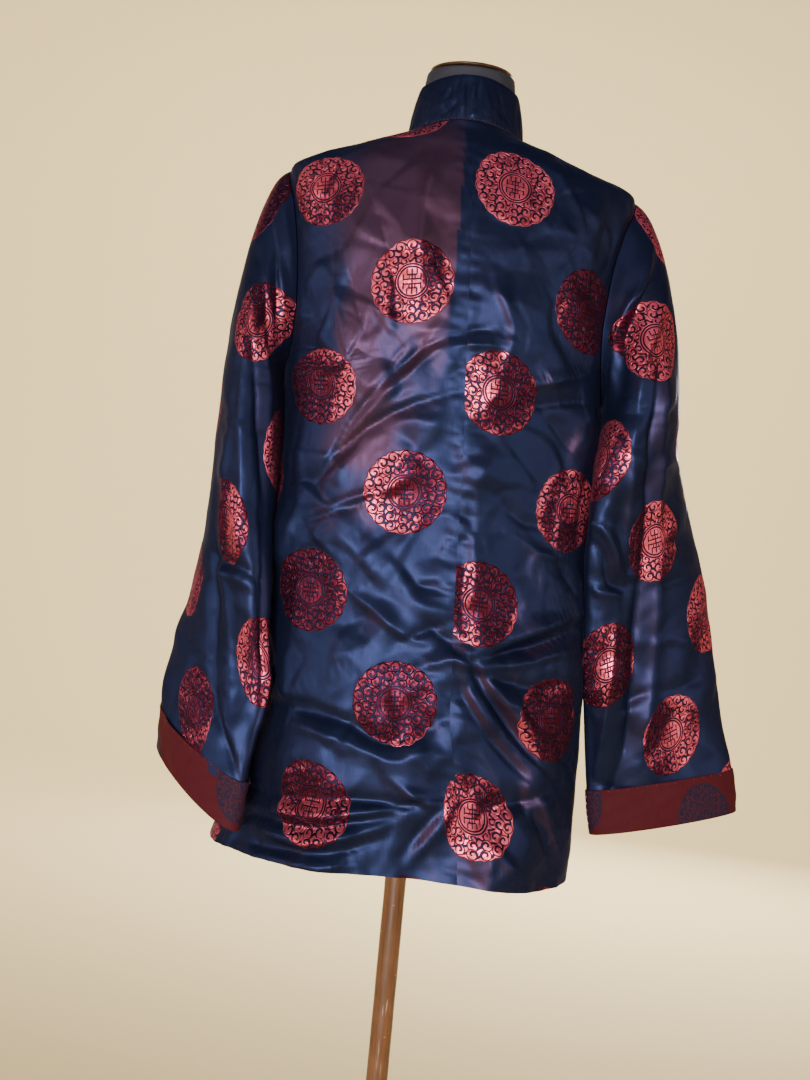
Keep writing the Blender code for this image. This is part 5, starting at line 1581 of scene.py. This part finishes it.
def makeWood(name, deep):
    material, tree, shader = newMaterial(name, woodLook["base"], woodLook["rough"], Coat_Weight=0.25,
                                         Coat_Roughness=0.22)
    dark, light, tan, bare = (tuple(deep * part for part in woodLook[tone]) for tone in woodTones)
    spot = coordinates(tree)
    grain = noiseWire(tree, spot, 90.0, 4.0, 0.62, (1.0, 1.0, 0.055))
    streak = noiseWire(tree, spot, 420.0, 2.0, 0.55, (1.0, 1.0, 0.012))
    patch = noiseWire(tree, spot, 11.0, 3.0, 0.6)
    scuff = noiseWire(tree, spot, 130.0, 2.0, 0.7, (1.0, 1.0, 0.09)).step(0.665, 0.05)
    chip = noiseWire(tree, spot, 75.0, 3.0, 0.6).step(0.70, 0.03)
    wood = mixColor(tree, (grain * 0.7 + streak * 0.3).step(0.5, 0.32), dark, light)
    worn = mixColor(tree, patch.step(0.56, 0.2) * 0.55, wood, tan)
    marked = mixColor(tree, (scuff * 0.5 + chip * 0.75).math("MINIMUM", 1.0), worn, bare)
    tree.links.new(marked, shader.inputs["Base Color"])
    (patch * 0.22 + scuff * 0.25 + 0.26).into(shader.inputs["Roughness"])
    bumpInto(tree, shader, grain * 0.4 + streak * 0.3 - chip * 0.5, 0.3, 0.0006)
    return material


def makeDarkMetal():
    material, tree, shader = newMaterial("darkMetal", (0.030, 0.028, 0.026), 0.45, Metallic=0.85)
    spot = coordinates(tree)
    brushed = noiseWire(tree, spot, 60.0, 3.0, 0.6)
    scuff = noiseWire(tree, spot, 14.0, 5.0, 0.65).step(0.6, 0.12)
    color = mixColor(tree, scuff * 0.5, (0.030, 0.028, 0.027), (0.110, 0.098, 0.085))
    tree.links.new(color, shader.inputs["Base Color"])
    (brushed * 0.2 + scuff * 0.18 + 0.28).into(shader.inputs["Roughness"])
    bumpInto(tree, shader, brushed, 0.25, 0.0006)
    return material


def makeTurned(name, profile, rise, material, node, steps=96, soften=0.0008):
    bm = bmesh.new()
    verts = [bm.verts.new((radius, 0.0, rise + height)) for radius, height in profile]
    for a, b in zip(verts, verts[1:]):
        bm.edges.new((a, b))
    bmesh.ops.spin(bm, geom=bm.verts[:] + bm.edges[:], axis=(0, 0, 1), cent=(0, 0, 0), angle=math.tau,
                   steps=steps, use_merge=True)
    bmesh.ops.remove_doubles(bm, verts=bm.verts, dist=0.00003)
    bmesh.ops.recalc_face_normals(bm, faces=bm.faces)
    mesh = bpy.data.meshes.new(name)
    bm.to_mesh(mesh)
    bm.free()
    piece = addPiece(name, mesh, (material,))
    edge = piece.modifiers.new("softEdge", "BEVEL")
    edge.width = soften
    edge.segments = 3
    edge.limit_method = "ANGLE"
    edge.angle_limit = math.radians(32)
    edge.harden_normals = False
    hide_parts(node)
    return piece


stand = {
    "poleRadius": 0.012, "poleStart": 0.0605, "poleEdge": 0.001, "poleWear": 0.00012,
    "clearance": 0.0005, "poleRings": 60, "poleWaves": (31, 83),
}
capProfile = (
    (0.0, 0.0058), (0.0080, 0.0057), (0.0160, 0.0054), (0.0240, 0.0050), (0.0320, 0.0044),
    (0.0400, 0.0037), (0.0438, 0.0032), (0.0455, 0.0021), (0.0455, 0.0010), (0.0446, 0.0), (0.0, 0.0),
)
socketProfile = (
    (0.0, 0.0), (0.0494, 0.0), (0.0494, -0.006), (0.0480, -0.008), (0.0340, -0.0105), (0.0285, -0.012),
    (0.0260, -0.0155), (0.0260, -0.030), (0.0252, -0.031), (0.0252, -0.033), (0.0260, -0.034),
    (0.0260, -0.062), (0.0252, -0.063), (0.0252, -0.065), (0.0260, -0.066), (0.0260, -0.078),
    (0.0245, -0.0815), (0.0213, -0.084), (0.0, -0.084),
)
baseProfile = (
    (0.0, 0.060), (0.0195, 0.060), (0.0222, 0.0586), (0.0236, 0.056), (0.0243, 0.050), (0.0250, 0.042),
    (0.0262, 0.036), (0.0300, 0.0312), (0.040, 0.0272), (0.060, 0.0246), (0.090, 0.0222),
    (0.130, 0.0192), (0.165, 0.0166), (0.173, 0.0158), (0.1785, 0.0142), (0.1825, 0.0118),
    (0.1846, 0.0085), (0.1848, 0.005), (0.1838, 0.0015), (0.183, 0.0), (0.0, 0.0),
)
formCover, darkMetal = makeFormCover(), makeDarkMetal()
wood, capWood = makeWood("varnishedWood", 1.0), makeWood("darkStainedWood", 0.35)
makeForm()
capStart = napeHeight - form["topDrop"] + stand["clearance"]
makeTurned("neckCap", capProfile, capStart, capWood, "neck_cap")
socketTop = napeHeight - form["endDrop"] - stand["clearance"]
makeTurned("formSocket", socketProfile, socketTop, darkMetal, "socket")
poleTop = socketTop + socketProfile[-1][1] - stand["clearance"]
poleEdge = stand["poleRadius"] - stand["poleEdge"]
poleProfile = [(0.0, poleTop), (poleEdge, poleTop)]
poleHeights = poleTop - stand["poleEdge"], stand["poleStart"] + stand["poleEdge"]
slow, fast = stand["poleWaves"]
for height in np.linspace(*poleHeights, stand["poleRings"]):
    wear = stand["poleWear"] * (1 + math.sin(height * slow) * math.cos(height * fast))
    poleProfile.append((stand["poleRadius"] - wear, height))
poleProfile += [(poleEdge, stand["poleStart"]), (0.0, stand["poleStart"])]
makeTurned("standPole", poleProfile, 0.0, wood, "pole", steps=48, soften=0.0003)
makeTurned("standBase", baseProfile, 0.0, darkMetal, "base", steps=128)
print("form and stand made")

# floor, backdrop and light
studio = {
    "radius": 6.5, "bend": 2.5, "height": 4.5, "color": (0.76, 0.60, 0.32), "sides": 96, "bendSteps": 12,
}


def makeBackdrop(size):
    profile = [(0.0, 0.0), (size["radius"] - size["bend"], 0.0)]
    for k in range(1, size["bendSteps"] + 1):
        a = math.pi / 2 * k / size["bendSteps"]
        out = size["radius"] - size["bend"] + size["bend"] * math.sin(a)
        profile.append((out, size["bend"] * (1 - math.cos(a))))
    profile.append((size["radius"], size["height"]))
    steps = size["sides"]
    points, faces = [], []
    for k in range(steps):
        a = math.tau * k / steps
        points += [(r * math.cos(a), r * math.sin(a), floorHeight + h) for r, h in profile]
    rows = len(profile)
    for k in range(steps):
        here, there = k * rows, (k + 1) % steps * rows
        faces += [(here + j, there + j, there + j + 1, here + j + 1) for j in range(rows - 1)]
    mesh = bpy.data.meshes.new("floorAndBackdrop")
    mesh.from_pydata(points, [], faces)
    mesh.shade_smooth()
    material, tree, shader = newMaterial("paleFloor", size["color"], 0.85, Specular_IOR_Level=0.2)
    mesh.materials.append(material)
    obj = bpy.data.objects.new("floorAndBackdrop", mesh)
    bpy.context.scene.collection.objects.link(obj)


makeBackdrop(studio)

warm, cool, cream = (1.0, 0.98, 0.95), (0.95, 0.97, 1.0), (1.0, 0.97, 0.90)
lamps = {  # place, where it points, width and height, watts, colour
    "key": ((0.70, 3.5, 0.95), (0, 0, 0.8), (1.5, 0.7), 140, warm),
    "high": ((0.6, 2.6, 4.0), (0, 0, 1.0), (1.6, 1.2), 9, cool),
    "left": ((2.5, 1.0, 1.3), (0, 0, 1.0), (0.4, 1.6), 14, cool),
    "right": ((-2.4, 1.7, 1.3), (0, 0, 0.9), (0.5, 1.4), 12, cool),
    "front": ((-0.95, -3.5, 1.5), (0, 0, 0.9), (1.1, 0.9), 110, warm),
    "wall": ((0, -2.6, 3.4), (0, -6.5, 0.8), (3.0, 1.0), 340, cream),
    "farWall": ((0, 2.6, 4.2), (0, 6.5, 2.4), (3.0, 1.0), 26, cream),
}
for name, (place, aim, size, power, color) in lamps.items():
    light = bpy.data.lights.new(name + "Light", "AREA")
    light.shape = "RECTANGLE"
    light.size, light.size_y = size
    light.energy = power
    light.color = color
    obj = bpy.data.objects.new(name + "Light", light)
    obj.location = place
    obj.rotation_euler = (Vector(aim) - Vector(place)).to_track_quat("-Z", "Y").to_euler()
    bpy.context.scene.collection.objects.link(obj)

world = bpy.data.worlds.new("studioLight")
bpy.context.scene.world = world
world.use_nodes = True
background = world.node_tree.nodes["Background"]
background.inputs["Color"].default_value = (0.95, 0.96, 1.0, 1)
background.inputs["Strength"].default_value = 0.11
print("floor and lights made")
